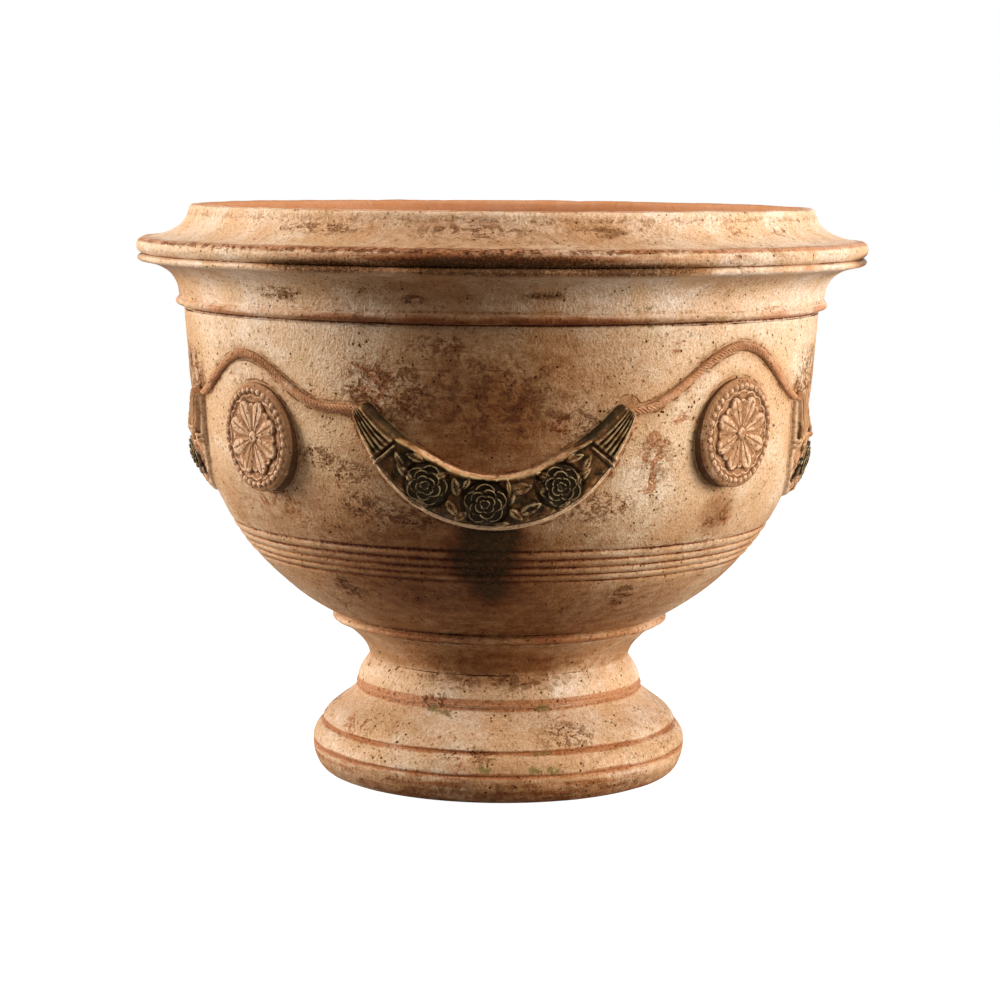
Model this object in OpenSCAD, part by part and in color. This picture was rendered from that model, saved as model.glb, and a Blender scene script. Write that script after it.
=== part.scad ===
// Glazed terracotta urn planter, in millimetres.
// Thrown foot, bowl and collar, with press-moulded garlands, roses, cords and medallions.
// The urn stands on z = 0 with its axis on Z. Its front faces -Y.

/* [Foot] */
// Diameter of the ring that the urn stands on
foot_d = 338; // [300:1:380]
// Height of the foot, up to its joint with the bowl
foot_h = 116; // [108:1:150]
// Thickness of the foot at the ring that it stands on
foot_wall = 22; // [16:1:30]
// How far the base swells out beyond the ring that it stands on
base_swell = 18.5; // [8:0.5:22]
// Height of the base at its widest
base_h = 28; // [20:1:34]
// Height of the rounded band above the base
band_h = 18; // [12:1:22]
// Diameter of the ring below the neck
neck_ring_d = 288; // [274:1:310]
// Height from the ring below the neck to the joint
neck_h = 30; // [22:1:36]
// Diameter of the waist, where foot and bowl join
waist_d = 261; // [244:1:268]

/* [Bowl] */
// Height of the flared stem under the bowl
stem_h = 36; // [28:1:46]
// Height of the bead between stem and bowl
stem_bead_h = 9; // [6:1:14]
// How far the stem bead stands proud of the bowl above it
stem_bead_out = 6; // [3:0.5:9]
// Diameter of the bowl where it leaves the stem bead
bowl_low_d = 324; // [300:1:350]
// Diameter of the bowl at its top joint
belly_d = 630; // [580:1:634]
// Height of the curved bowl, from stem bead to top joint
bowl_h = 304; // [280:1:340]
// Thickness of the bowl and collar walls
wall_t = 21; // [16:1:26]
// Thickness of the bowl's floor
floor_t = 26; // [20:1:34]
// Diameter of the drain hole in the floor
drain_d = 40; // [20:1:60]
// Height of the lowest scored line above the stem bead
line_low = 65; // [40:1:75]
// Distance between the two lowest scored lines
line_pitch = 6.5; // [5:0.1:8]
// Width of a scored line
line_w = 2.4; // [1.5:0.1:3.5]
// Depth of a scored line
line_depth = 1.6; // [0.8:0.1:3]

/* [Collar] */
// Height of the bead at the collar's foot
bead_h = 12; // [8:1:16]
// How far the bead stands proud of the collar above it
bead_out = 3.5; // [2:0.5:7]
// Diameter of the collar just above its bead
collar_d = 640; // [636:1:680]
// Height of the hollow under the cornice
cove_h = 34; // [26:1:44]
// Outer diameter of the cornice
cornice_d = 725; // [705:1:760]
// Height of the cornice's lower lip
low_lip_h = 8; // [5:1:12]
// Height of the cornice's upper lip
up_lip_h = 16; // [10:1:20]
// Height from the cornice to the top of the rim
rim_h = 32; // [26:1:46]
// Outer diameter of the rim
rim_d = 621; // [600:1:650]
// Thickness of the rim at its top
rim_t = 20; // [14:1:26]

/* [Joints] */
// Width of the flat seat round the waist joint
seat_w = 24; // [18:1:30]
// Depth of the bowl's spigot in the foot
spigot_h = 6; // [4:1:10]
// Width of the tongue that keys the collar into the bowl
tongue_w = 7; // [5:0.5:9]
// Height of the tongue
tongue_h = 6; // [4:0.5:9]
// Clearance round spigot and tongue, filled with slip
joint_gap = 0.3; // [0.2:0.05:0.5]
// Layer of slip behind a moulded ornament
slip_gap = 0.3; // [0.25:0.05:0.5]

/* [Garlands] */
// Height of a garland's lowest point on its middle line, below the top joint
garland_drop = 160; // [150:1:175]
// Half the width that the garland's curve would have at its ends
garland_half = 160; // [150:1:170]
// Rise of the garland's curve
garland_rise = 240; // [220:1:260]
// Width of the garland in its middle
garland_w = 51; // [46:1:56]
// Width of the garland at its tied bands
band_w = 38; // [32:1:42]
// Width of the fluted tip at its end
tip_w = 20; // [16:1:26]
// Height of the garland's bed above the bowl
bed_h = 7; // [5:0.5:9]
// Height of the border and the leaves above the bed
leaf_h = 2.5; // [1.5:0.5:4]
// Diameter of a rose
rose_d = 39; // [32:1:44]
// Height of a rose above the bed
rose_h = 8; // [6:0.5:11]
// Height of the fluted tips above the bowl
tip_h = 10; // [8:0.5:12]
// Distance from one rose to the next, along the bowl
rose_pitch = 59; // [54:1:66]
// How far the middle rose sits to the left of the garland's middle
rose_sway = 7; // [0:0.5:8]

/* [Medallions] */
// Width of a medallion
medal_w = 95; // [86:1:108]
// Height of a medallion
medal_h = 102; // [94:1:114]
// Distance from the top joint down to a medallion's middle
medal_drop = 106; // [98:1:118]
// Thickness of a medallion at its top edge
medal_t = 6.5; // [5:0.5:12]
// Lean of a medallion's face from the vertical, in degrees
medal_lean = 4.5; // [3:0.5:8]
// Width of the raised rim round a medallion
medal_rim_w = 8; // [6:0.5:11]
// Height of the rim and the rosette above the field
medal_relief = 3; // [2:0.5:4]

/* [Cords] */
// Width of a moulded cord
cord_w = 8; // [6:0.5:11]
// Height of a moulded cord above the bowl
cord_h = 5.5; // [4:0.5:8]
// Height of a cord's middle, at its ends, above the outer corner of the garland's tip
cord_end_lift = 4; // [0:0.5:6]
// Angle on each side of a medallion within which its cord rises, in degrees
cord_reach = 21; // [18:0.5:22]
// Distance from a medallion's top to the middle of the cord over it
cord_over_medal = 29; // [20:1:36]

/* [Hidden] */

cream = [0.84, 0.70, 0.53];
clay = [0.72, 0.42, 0.27];
dark_glaze = [0.22, 0.17, 0.09];

// Levels, from the ground up
waist_z = foot_h;
stem_bead_z = waist_z + stem_h;
bowl_z = stem_bead_z + stem_bead_h;
joint_z = bowl_z + bowl_h;
cove_z = joint_z + bead_h;
cornice_z = cove_z + cove_h;
cornice_top_z = cornice_z + low_lip_h + up_lip_h;
top_z = cornice_top_z + rim_h;
floor_z = waist_z - spigot_h;

// Radii
foot_r = foot_d / 2;
base_r = foot_r + base_swell;
neck_ring_r = neck_ring_d / 2;
waist_r = waist_d / 2;
bowl_low_r = bowl_low_d / 2;
belly_r = belly_d / 2;
collar_r = collar_d / 2;
cornice_r = cornice_d / 2;
rim_r = rim_d / 2;
spigot_r = waist_r - seat_w;

// Scored lines round the foot, and the eased edge between two mouldings
foot_line_w = 2.6;
foot_line_depth = 2;
eased = 1.5;

// The bowl's outline: a full curve that grows from the stem bead to the top joint
bowl_power = 3.32;
bowl_fullness = 0.873;
bowl_lean = 0.126;
function bowl_share(t) =
    (1 - bowl_lean) * pow(1 - pow(1 - t, bowl_power), bowl_fullness) + bowl_lean * t;
function bowl_at(z) =
    bowl_low_r + (belly_r - bowl_low_r) * bowl_share(min(1, max(0, (z - bowl_z) / bowl_h)));

// Points of a cubic curve, without its first point
function bend(p0, p1, p2, p3, steps) = [
    for (i = [1:steps])
        let (t = i / steps, u = 1 - t)
            u * u * u * p0 + 3 * u * u * t * p1 + 3 * u * t * t * p2 + t * t * t * p3
];

// Points of an elliptic arc in the radius and height plane
function arc(centre, reach, rise, from, to, steps) = [
    for (i = [0:steps])
        let (a = from + (to - from) * i / steps)
            [centre[0] + reach * cos(a), centre[1] + rise * sin(a)]
];

// A scored line in an upright wall of radius r
function scored(r, z, w, depth) = [
    [r, z - w / 2], [r - depth, z - w / 4], [r - depth, z + w / 4], [r, z + w / 2]
];

// A scored line in the curved bowl
function bowl_line(z) = [
    [bowl_at(z - line_w / 2), z - line_w / 2],
    [bowl_at(z) - line_depth, z - line_w / 4],
    [bowl_at(z) - line_depth, z + line_w / 4],
    [bowl_at(z + line_w / 2), z + line_w / 2]
];

// Levels of the five scored lines, a little further apart as they climb
line_count = 5;
line_pitch_step = 0.3;
function line_z(i) = bowl_z + line_low + i * (line_pitch + line_pitch_step * i);

// Inner point that lies one wall thickness inside the bowl's outline at height z
slope_step = 0.5;
function inside_bowl(z) =
    let (
        rise = (bowl_at(z + slope_step) - bowl_at(z)) / slope_step,
        scale_n = sqrt(1 + rise * rise)
    )
    [bowl_at(z) - wall_t / scale_n, z + wall_t * rise / scale_n];

// The foot: base, band, hollow, neck ring and neck, with a hollow inside
band_top_z = base_h + foot_line_w + band_h;
neck_ring_z = waist_z - neck_h;
band_angle = 62;
band_out_r = base_r - base_swell * (1 - cos(band_angle));
hollow_z = band_top_z + foot_line_w;
hollow_guide_h = (neck_ring_z - band_top_z) / 3;
hollow_low_in = 3;
hollow_high_out = 5;
ring_edge_h = 5;
ring_edge_out = 3;
neck_low_h = 9;
neck_high_out = 6;
throat_z = neck_ring_z + ring_edge_h;
throat_drop = 25;

function foot_outside() = concat(
    arc([foot_r, base_h], base_swell, base_h, -90, -4, 9),
    scored(base_r, base_h + foot_line_w / 2, foot_line_w, foot_line_depth),
    arc([foot_r, base_h + foot_line_w], base_swell, band_h / sin(band_angle), 3, band_angle, 6),
    [
        [band_out_r - foot_line_depth, band_top_z + foot_line_w / 4],
        [band_out_r - foot_line_depth, hollow_z - foot_line_w / 4],
        [band_out_r, hollow_z]
    ],
    bend(
        [band_out_r, hollow_z],
        [band_out_r - hollow_low_in, hollow_z + hollow_guide_h],
        [neck_ring_r + hollow_high_out, neck_ring_z - hollow_guide_h],
        [neck_ring_r - eased, neck_ring_z],
        12
    ),
    arc(
        [neck_ring_r - ring_edge_out, neck_ring_z + ring_edge_h / 2],
        ring_edge_out, ring_edge_h / 2, -60, 60, 4
    ),
    bend(
        [neck_ring_r - eased, throat_z],
        [neck_ring_r - eased, throat_z + neck_low_h],
        [waist_r + neck_high_out, waist_z - neck_low_h],
        [waist_r, waist_z - eased],
        8
    ),
    [[waist_r, waist_z]]
);

function foot_inside() = concat(
    [[spigot_r + joint_gap, waist_z], [spigot_r + joint_gap, throat_z]],
    bend(
        [spigot_r + joint_gap, throat_z],
        [spigot_r + joint_gap, throat_z - throat_drop],
        [foot_r - foot_wall + hollow_low_in, base_h + band_h],
        [foot_r - foot_wall, 0],
        14
    )
);

module foot() {
    color(cream)
        rotate_extrude($fn = 160)
            polygon(concat(foot_outside(), foot_inside()));
}

// The bowl: spigot, stem, stem bead, curved wall with five scored lines, and a floor with a drain
stem_top_r = bowl_low_r - 6;
stem_low_out = 2.5;
stem_low_share = 0.42;
stem_high_out = 13;
stem_high_share = 0.64;
undercut = 2;
inner_floor_z = floor_z + floor_t;
inner_start_z = bowl_z + eased;
inner_step_in = 13;
inner_step_down = 24;
inner_floor_out = 16;
inner_floor_in = 6;
drill_over = 1;
groove_mid_r = belly_r - wall_t / 2;

function stem_outside() = concat(
    [[waist_r, waist_z]],
    bend(
        [waist_r, waist_z],
        [waist_r + stem_low_out, waist_z + stem_h * stem_low_share],
        [waist_r + stem_high_out, waist_z + stem_h * stem_high_share],
        [stem_top_r, stem_bead_z - undercut],
        10
    ),
    [[stem_top_r - undercut / 2, stem_bead_z]],
    arc(
        [bowl_low_r - undercut, stem_bead_z + stem_bead_h / 2],
        stem_bead_out + undercut, stem_bead_h / 2, -80, 75, 9
    )
);

wall_steps = 30;
first_line_z = line_z(0) - line_w;
last_line_z = line_z(line_count - 1) + line_w;
low_steps = 9;

// Points of the bowl's outline between two heights
function wall_run(from, to, steps) = [
    for (i = [0:steps])
        let (z = from + (to - from) * i / steps)
            [bowl_at(z), z]
];

function bowl_outside() = concat(
    wall_run(bowl_z, first_line_z, low_steps),
    [for (i = [0:line_count - 1]) each bowl_line(line_z(i))],
    wall_run(last_line_z, joint_z, wall_steps)
);

function keyed_top() = [
    [groove_mid_r + tongue_w / 2, joint_z],
    [groove_mid_r + tongue_w / 2, joint_z - tongue_h],
    [groove_mid_r - tongue_w / 2, joint_z - tongue_h],
    [groove_mid_r - tongue_w / 2, joint_z],
    [belly_r - wall_t, joint_z]
];

inner_steps = 26;
inner_top_z = joint_z - wall_t;
function bowl_inside() = concat(
    [
        for (i = [inner_steps:-1:0])
            inside_bowl(inner_start_z + (inner_top_z - inner_start_z) * i / inner_steps)
    ],
    bend(
        inside_bowl(inner_start_z),
        inside_bowl(inner_start_z) - [inner_step_in, inner_step_down],
        [spigot_r + inner_floor_out, inner_floor_z],
        [spigot_r - inner_floor_in, inner_floor_z],
        8
    )
);

module bowl() {
    color(cream)
        difference() {
            rotate_extrude($fn = 160)
                polygon(concat(
                    [[0, floor_z], [spigot_r, floor_z], [spigot_r, waist_z]],
                    stem_outside(),
                    bowl_outside(),
                    keyed_top(),
                    bowl_inside(),
                    [[0, inner_floor_z]]
                ));
            translate([0, 0, floor_z - drill_over])
                cylinder(h = floor_t + 2 * drill_over, d = drain_d, $fn = 64);
        }
}

// The collar: tongue, bead, hollow, two-lipped cornice, upper hollow and rim
lip_step = 1.5;
lip_out = 8;
lip_back = 10;
bead_base_h = 3;
bead_root = 2;
cove_mid_share = 0.53;
cove_high_out = 9;
cove_high_share = 0.85;
cove_edge = 8;
upper_low_out = 17;
upper_low_h = 2.5;
upper_mid_out = 4;
upper_mid_share = 0.4;
rim_neck_out = 1;
rim_neck_share = 0.75;
rim_round = 5;
cornice_hollow = 14;
collar_in_r = belly_r - wall_t;
cornice_in_r = collar_in_r + cornice_hollow;
rim_in_r = rim_r - rim_t;

function collar_outside() = concat(
    [[belly_r, joint_z], [belly_r, joint_z + bead_base_h]],
    arc(
        [collar_r - bead_root, joint_z + (bead_h + bead_base_h) / 2],
        bead_out + bead_root, (bead_h - bead_base_h) / 2, -75, 60, 8
    ),
    [[collar_r, cove_z]],
    bend(
        [collar_r, cove_z],
        [collar_r + eased, cove_z + cove_h * cove_mid_share],
        [collar_r + cove_high_out, cove_z + cove_h * cove_high_share],
        [cornice_r - cove_edge, cornice_z],
        12
    ),
    arc([cornice_r - lip_out, cornice_z + low_lip_h / 2], lip_out - lip_step, low_lip_h / 2, -70, 70, 6),
    [[cornice_r - lip_out + lip_step, cornice_z + low_lip_h]],
    arc([cornice_r - lip_out, cornice_top_z - up_lip_h / 2], lip_out, up_lip_h / 2, -75, 85, 9),
    bend(
        [cornice_r - lip_back, cornice_top_z],
        [rim_r + upper_low_out, cornice_top_z + upper_low_h],
        [rim_r + upper_mid_out, cornice_top_z + rim_h * upper_mid_share],
        [rim_r + rim_neck_out, cornice_top_z + rim_h * rim_neck_share],
        10
    ),
    arc([rim_r - rim_round, top_z - rim_round], rim_round, rim_round, 0, 90, 5)
);

function collar_inside() = concat(
    [[rim_in_r + rim_round, top_z]],
    arc([rim_in_r + rim_round, top_z - rim_round], rim_round, rim_round, 110, 180, 4),
    bend(
        [rim_in_r, top_z - rim_round],
        [rim_in_r, cornice_top_z + lip_out],
        [cornice_in_r, cornice_top_z],
        [cornice_in_r, cornice_z + low_lip_h],
        8
    ),
    bend(
        [cornice_in_r, cornice_z + low_lip_h],
        [cornice_in_r, cornice_z - cornice_hollow],
        [collar_in_r, cove_z + cornice_hollow],
        [collar_in_r, joint_z],
        8
    )
);

function tongue() = [
    [groove_mid_r - tongue_w / 2 + joint_gap, joint_z],
    [groove_mid_r - tongue_w / 2 + joint_gap, joint_z - tongue_h + joint_gap],
    [groove_mid_r + tongue_w / 2 - joint_gap, joint_z - tongue_h + joint_gap],
    [groove_mid_r + tongue_w / 2 - joint_gap, joint_z]
];

module collar() {
    color(cream)
        rotate_extrude($fn = 160)
            polygon(concat(collar_outside(), collar_inside(), tongue()));
}

// A point on the bowl: s along the surface from the ornament's middle, height z, h above the wall
function on_bowl(s, z, h) =
    let (r = bowl_at(z), a = s / r * 180 / PI)
    [(r + h) * sin(a), -(r + h) * cos(a), z];

function mean_of(points) =
    [for (k = [0:2]) let (column = [for (p = points) p[k]]) column * [for (p = points) 1] / len(points)];

// A closed skin through a row of equal loops, with a fan over each end
module skin(loops) {
    rows = len(loops);
    n = len(loops[0]);
    first_pole = rows * n;
    last_pole = first_pole + 1;
    polyhedron(
        points = concat(
            [for (ring = loops) each ring],
            [mean_of(loops[0]), mean_of(loops[rows - 1])]
        ),
        faces = concat(
            [for (i = [0:rows - 2], j = [0:n - 1])
                let (a = i * n + j, b = i * n + (j + 1) % n)
                    each [[a, b, b + n], [a, b + n, a + n]]],
            [for (j = [0:n - 1]) [first_pole, (j + 1) % n, j]],
            [for (j = [0:n - 1]) [last_pole, (rows - 1) * n + j, (rows - 1) * n + (j + 1) % n]]
        )
    );
}

// The garland's middle line is part of an ellipse: u is its angle from the lowest point
garland_z = joint_z - garland_drop;
band_u = 37;
tip_u = 50.5;
band_len_u = 2;
garland_power = 4;
function garland_mid(u) = [garland_half * sin(u), garland_z + garland_rise * (1 - cos(u))];
function garland_across(u) =
    let (along = [garland_half * cos(u), garland_rise * sin(u)])
    [-along[1], along[0]] / norm(along);
function garland_width(u) = abs(u) < band_u
    ? band_w + (garland_w - band_w) * (1 - pow(abs(u) / band_u, garland_power))
    : band_w + (tip_w - band_w) * (abs(u) - band_u) / (tip_u - band_u);

// Place of a rose: -1 left, 0 middle, 1 right
function rose_x(place) = place == 0 ? -rose_sway : place * rose_pitch;
function rose_u(place) = asin(rose_x(place) / garland_half);
function rose_mid(place) = garland_mid(rose_u(place));

// Share of leaf relief at a point: none under a rose or one ring of facets round it
rose_clear = 5;
leaf_fade = 6;
function rose_distance(p) = min([for (place = [-1:1]) norm(p - rose_mid(place))]);
function leaf_share(p) =
    min(1, max(0, (rose_distance(p) - rose_d / 2 - rose_clear) / leaf_fade));

flute_count = 4;
flute_depth = 2;
bed_edge_share = 0.4;
edge_at_share = 0.99;
border_at_share = 0.85;
rib_share = 0.6;
// Height of the garland above the bowl: v runs from -1 at the lower edge to 1 at the upper edge
function garland_height(u, v, p) =
    abs(v) > edge_at_share ? bed_h * bed_edge_share
    : abs(abs(u) - band_u) < band_len_u / 2 ? tip_h
    : abs(u) > band_u ? tip_h - flute_depth * (1 - cos(180 * v * flute_count)) / 2
    : abs(v) > border_at_share ? bed_h + leaf_h * leaf_share(p)
    : bed_h + leaf_h * rib_share * (1 - abs(v)) * leaf_share(p);

front_v = [-1, -0.92, -0.75, -0.5, -0.25, 0, 0.25, 0.5, 0.75, 0.92, 1];
back_v = [0.98, 0.5, 0, -0.5, -0.98];
garland_steps = 42;
function garland_point(u, v, h) =
    let (p = garland_place(u, v))
    on_bowl(p[0], p[1], h);
function garland_place(u, v) = garland_mid(u) + garland_across(u) * v * garland_width(u) / 2;
function garland_loop(u) = concat(
    [for (v = front_v) garland_point(u, v, garland_height(u, v, garland_place(u, v)))],
    [for (v = back_v) garland_point(u, v, slip_gap)]
);

module garland(side) {
    color(dark_glaze)
        rotate([0, 0, side])
            skin([for (i = [0:garland_steps]) garland_loop(-tip_u + 2 * tip_u * i / garland_steps)]);
}

// A rose sits on the flat bed of its garland, with its petals in three rings
rose_sides = 20;
petal_wave = 0.9;
petal_rings = 1.5;
outer_petals = 5;
petal_turn = 150;
rose_edge_share = 0.45;
rose_crown_power = 0.7;
function rose_front(q, a) =
    rose_h * (rose_edge_share + (1 - rose_edge_share) * pow(1 - q * q, rose_crown_power))
    + petal_wave * sin(360 * q * petal_rings)
    + petal_wave * q * cos(outer_petals * a + petal_turn * q);
function rose_point(place, q, a, h) =
    let (mid = rose_mid(place), r = q * rose_d / 2)
    on_bowl(mid[0] + r * cos(a), mid[1] + r * sin(a), h);
function rose_loop(place, q, rise) = [
    for (j = [0:rose_sides - 1])
        let (a = -360 * j / rose_sides)
            rose_point(place, q, a, bed_h + slip_gap + (rise ? rose_front(q, a) : 0))
];

rose_back_q = [0.5, 0.96];
rose_front_q = [0.99, 0.86, 0.7, 0.52, 0.34, 0.16];

module rose(side, place) {
    color(dark_glaze)
        rotate([0, 0, side])
            skin(concat(
                [for (q = rose_back_q) rose_loop(place, q, false)],
                [for (q = rose_front_q) rose_loop(place, q, true)]
            ));
}

// A cord leaves the outer corner of one garland's tip, rises over a medallion and comes down to the next
medal_z = joint_z - medal_drop;
quarter = 90;
tip_corner = garland_mid(tip_u) - garland_across(tip_u) * tip_w / 2;
corner_angle = tip_corner[0] / bowl_at(tip_corner[1]) * 180 / PI;
cord_end_gap = 0.8;
cord_gap_angle = cord_end_gap / bowl_at(tip_corner[1]) * 180 / PI;
cord_low_z = tip_corner[1] + cord_end_lift;
cord_top_z = medal_z + medal_h / 2 + cord_over_medal;
cord_half_angle = quarter / 2 - corner_angle - cord_gap_angle;
cord_steps = 44;
crown_points = 5;

// A cord's middle line is a single wave: its phase runs from -180 to 180 within the cord's reach
function cord_phase(u) = max(-180, min(180, 180 * u * cord_half_angle / cord_reach));
function cord_mid(u) =
    [u * cord_half_angle, cord_low_z + (cord_top_z - cord_low_z) * (1 + cos(cord_phase(u))) / 2];
function cord_across(u) =
    let (
        along = [
            cord_reach * PI / 180 * bowl_at(cord_mid(u)[1]),
            -(cord_top_z - cord_low_z) * PI / 2 * sin(cord_phase(u))
        ]
    )
    [-along[1], along[0]] / norm(along);
function cord_point(u, v, h) =
    let (
        mid = cord_mid(u),
        across = cord_across(u) * v * cord_w / 2,
        z = mid[1] + across[1],
        r = bowl_at(z),
        a = mid[0] + across[0] / r * 180 / PI
    )
    [(r + h) * sin(a), -(r + h) * cos(a), z];
cord_edge_t = 0.6;
cord_edge_h = slip_gap + cord_edge_t;
cord_edge_share = 0.95;
function cord_loop(u) = concat(
    [for (k = [0:crown_points])
        let (a = 180 * k / crown_points)
            cord_point(u, -cos(a), cord_edge_h + (cord_h - cord_edge_h) * sin(a))],
    [cord_point(u, cord_edge_share, slip_gap), cord_point(u, -cord_edge_share, slip_gap)]
);

module cord(corner) {
    color(clay)
        rotate([0, 0, corner])
            skin([for (i = [0:cord_steps]) cord_loop(-1 + 2 * i / cord_steps)]);
}

// A medallion is an upright oval plaque pressed against the bowl, thicker towards its foot
medal_sides = 40;
petal_count = 8;
rosette_share = 0.62;
medal_top_r = bowl_at(medal_z + medal_h / 2) + medal_t;
rim_share = 1 - medal_rim_w / (medal_w / 2);
rim_mid = (1 + rim_share) / 2;
rim_spread_share = 0.02;
rim_half = (1 - rim_share) / 2 + rim_spread_share;
rosette_low_share = 0.25;
rosette_high_share = 0.6;
function rim_relief(q) = medal_relief * sqrt(max(0, 1 - pow((q - rim_mid) / rim_half, 2)));
function rosette_relief(q, a) =
    medal_relief * (rosette_low_share + rosette_high_share * sqrt(abs(cos(a * petal_count / 2))))
    * (1 - pow(q / rosette_share, 4));
function medal_relief_at(q, a) =
    q > rim_share ? rim_relief(q) : q < rosette_share ? rosette_relief(q, a) : 0;
function medal_face_r(dz) = medal_top_r - (medal_h / 2 - dz) * tan(medal_lean);
function medal_front(q, a) =
    let (x = q * medal_w / 2 * cos(a), dz = q * medal_h / 2 * sin(a))
    [x, -(medal_face_r(dz) - x * x / (4 * belly_r) + medal_relief_at(q, a)), medal_z + dz];
function medal_back(q, a) =
    on_bowl(q * medal_w / 2 * cos(a), medal_z + q * medal_h / 2 * sin(a), slip_gap);

medal_back_q = [0.12, 0.4, 0.7, 1];
medal_front_q = [0.985, rim_mid, rim_share, 0.72, rosette_share, 0.48, 0.3, 0.12];

module medallion(corner) {
    angles = [for (j = [0:medal_sides - 1]) -360 * j / medal_sides];
    color(clay)
        rotate([0, 0, corner])
            skin(concat(
                [for (q = medal_back_q) [for (a = angles) medal_back(q, a)]],
                [for (q = medal_front_q) [for (a = angles) medal_front(q, a)]]
            ));
}

front = 0;
right = 90;
back = 180;
left = 270;
front_right = 45;
back_right = 135;
back_left = 225;
front_left = 315;

foot();
bowl();
collar();
garland(front);  // garland_front
garland(right);  // garland_right
garland(back);  // garland_back
garland(left);  // garland_left
rose(front, -1);  // rose_front_left
rose(front, 0);  // rose_front_middle
rose(front, 1);  // rose_front_right
rose(right, -1);  // rose_right_left
rose(right, 0);  // rose_right_middle
rose(right, 1);  // rose_right_right
rose(back, -1);  // rose_back_left
rose(back, 0);  // rose_back_middle
rose(back, 1);  // rose_back_right
rose(left, -1);  // rose_left_left
rose(left, 0);  // rose_left_middle
rose(left, 1);  // rose_left_right
cord(front_right);  // cord_front_right
cord(back_right);  // cord_back_right
cord(back_left);  // cord_back_left
cord(front_left);  // cord_front_left
medallion(front_right);  // medallion_front_right
medallion(back_right);  // medallion_back_right
medallion(back_left);  // medallion_back_left
medallion(front_left);  // medallion_front_left
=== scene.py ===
import math

import bpy
import numpy as np
from mathutils import Matrix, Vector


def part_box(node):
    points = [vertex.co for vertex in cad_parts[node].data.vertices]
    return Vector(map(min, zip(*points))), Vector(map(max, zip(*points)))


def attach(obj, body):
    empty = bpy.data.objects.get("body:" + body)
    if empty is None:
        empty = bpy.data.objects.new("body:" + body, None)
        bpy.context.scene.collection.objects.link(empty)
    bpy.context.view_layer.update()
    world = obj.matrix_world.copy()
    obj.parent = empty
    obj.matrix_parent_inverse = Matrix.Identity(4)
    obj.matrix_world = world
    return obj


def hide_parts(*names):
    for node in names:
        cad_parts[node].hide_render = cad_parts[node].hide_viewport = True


# Glazed terracotta urn planter: thrown foot, bowl and collar, with pressed garlands, roses,
# cords and medallions. Metres, +Z up, the front garland faces -Y. An angle of 0 is the front
# and grows towards +X.

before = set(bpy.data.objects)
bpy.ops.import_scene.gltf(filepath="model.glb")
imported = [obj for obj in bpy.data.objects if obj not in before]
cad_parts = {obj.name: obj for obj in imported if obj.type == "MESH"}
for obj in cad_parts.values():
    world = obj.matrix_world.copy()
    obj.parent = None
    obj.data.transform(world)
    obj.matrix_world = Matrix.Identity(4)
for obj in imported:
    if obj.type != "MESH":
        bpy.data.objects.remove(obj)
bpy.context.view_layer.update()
footBox, bowlBox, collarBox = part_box("foot"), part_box("bowl"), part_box("collar")
print("frame loaded,", len(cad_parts), "nodes")

fullTurn = 2 * math.pi
sideAngles = {"front": 0.0, "right": 90.0, "back": 180.0, "left": 270.0}
cornerAngles = {"front_right": 45.0, "back_right": 135.0, "back_left": 225.0, "front_left": 315.0}


# Smooth step from 0 to 1 as x goes from 0 to 1
def smoothStep(x):
    t = np.clip(x, 0.0, 1.0)
    return t * t * (3 - 2 * t)


# Bell of height 1 at x = 0, which falls to a third at x = 1
def bell(x):
    return np.exp(-x * x)


# Noise from -1 to 1: one random number at each corner of a cubic lattice of the given cell,
# blended between the eight corners round a point by the smooth step of its place in the cell
def latticeNoise(points, cell, seed):
    place = points / cell + 31.7 * seed
    corner = np.floor(place).astype(np.int64)
    share = smoothStep(place - corner)

    def numberAt(dx, dy, dz):
        x, y, z = corner[..., 0] + dx, corner[..., 1] + dy, corner[..., 2] + dz
        mixed = (x * 73856093) ^ (y * 19349663) ^ (z * 83492791) ^ (seed * 40503)
        mixed = ((mixed ^ (mixed >> 13)) * 1274126177) & 0x7FFFFFFF
        mixed = ((mixed ^ (mixed >> 15)) * 668265263) & 0x7FFFFFFF
        return mixed / 0x3FFFFFFF - 1.0

    sx, sy, sz = share[..., 0], share[..., 1], share[..., 2]
    layers = []
    for dz in (0, 1):
        near = numberAt(0, 0, dz) * (1 - sx) + numberAt(1, 0, dz) * sx
        far = numberAt(0, 1, dz) * (1 - sx) + numberAt(1, 1, dz) * sx
        layers.append(near * (1 - sy) + far * sy)
    return layers[0] * (1 - sz) + layers[1] * sz


# Sum of lattice noises, each with half the cell and half the strength of the one before
def layeredNoise(points, cell, seed, layers):
    total = np.zeros(points.shape[:-1])
    for k in range(layers):
        total += 0.5 ** k * latticeNoise(points, cell * 0.5 ** k, seed + k)
    return total


# Points of a cubic curve with four guides, from just after the first guide to the last
def bend(p0, p1, p2, p3, steps):
    t = np.linspace(0, 1, steps + 1)[1:, None]
    u = 1 - t
    p0, p1, p2, p3 = (np.array(p, float) for p in (p0, p1, p2, p3))
    return u ** 3 * p0 + 3 * u * u * t * p1 + 3 * u * t * t * p2 + t ** 3 * p3


# Points of an elliptic arc between two angles in degrees, in the plane of radius and height
def arc(centre, reach, rise, start, stop, steps):
    a = np.radians(np.linspace(start, stop, steps + 1))
    return np.stack([centre[0] + reach * np.cos(a), centre[1] + rise * np.sin(a)], axis=1)


# Rounded groove in an upright wall: half a wave deep, steepened at its edges
def groove(radius, low, width, depth, steps):
    t = np.linspace(0, 1, steps + 1)
    return np.stack([radius - depth * np.sin(math.pi * t) ** 0.7, low + width * t], axis=1)


# Straight run of points between two ends, both kept
def run(start, stop, steps):
    t = np.linspace(0, 1, steps + 1)[:, None]
    return np.array(start, float) * (1 - t) + np.array(stop, float) * t


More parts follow.
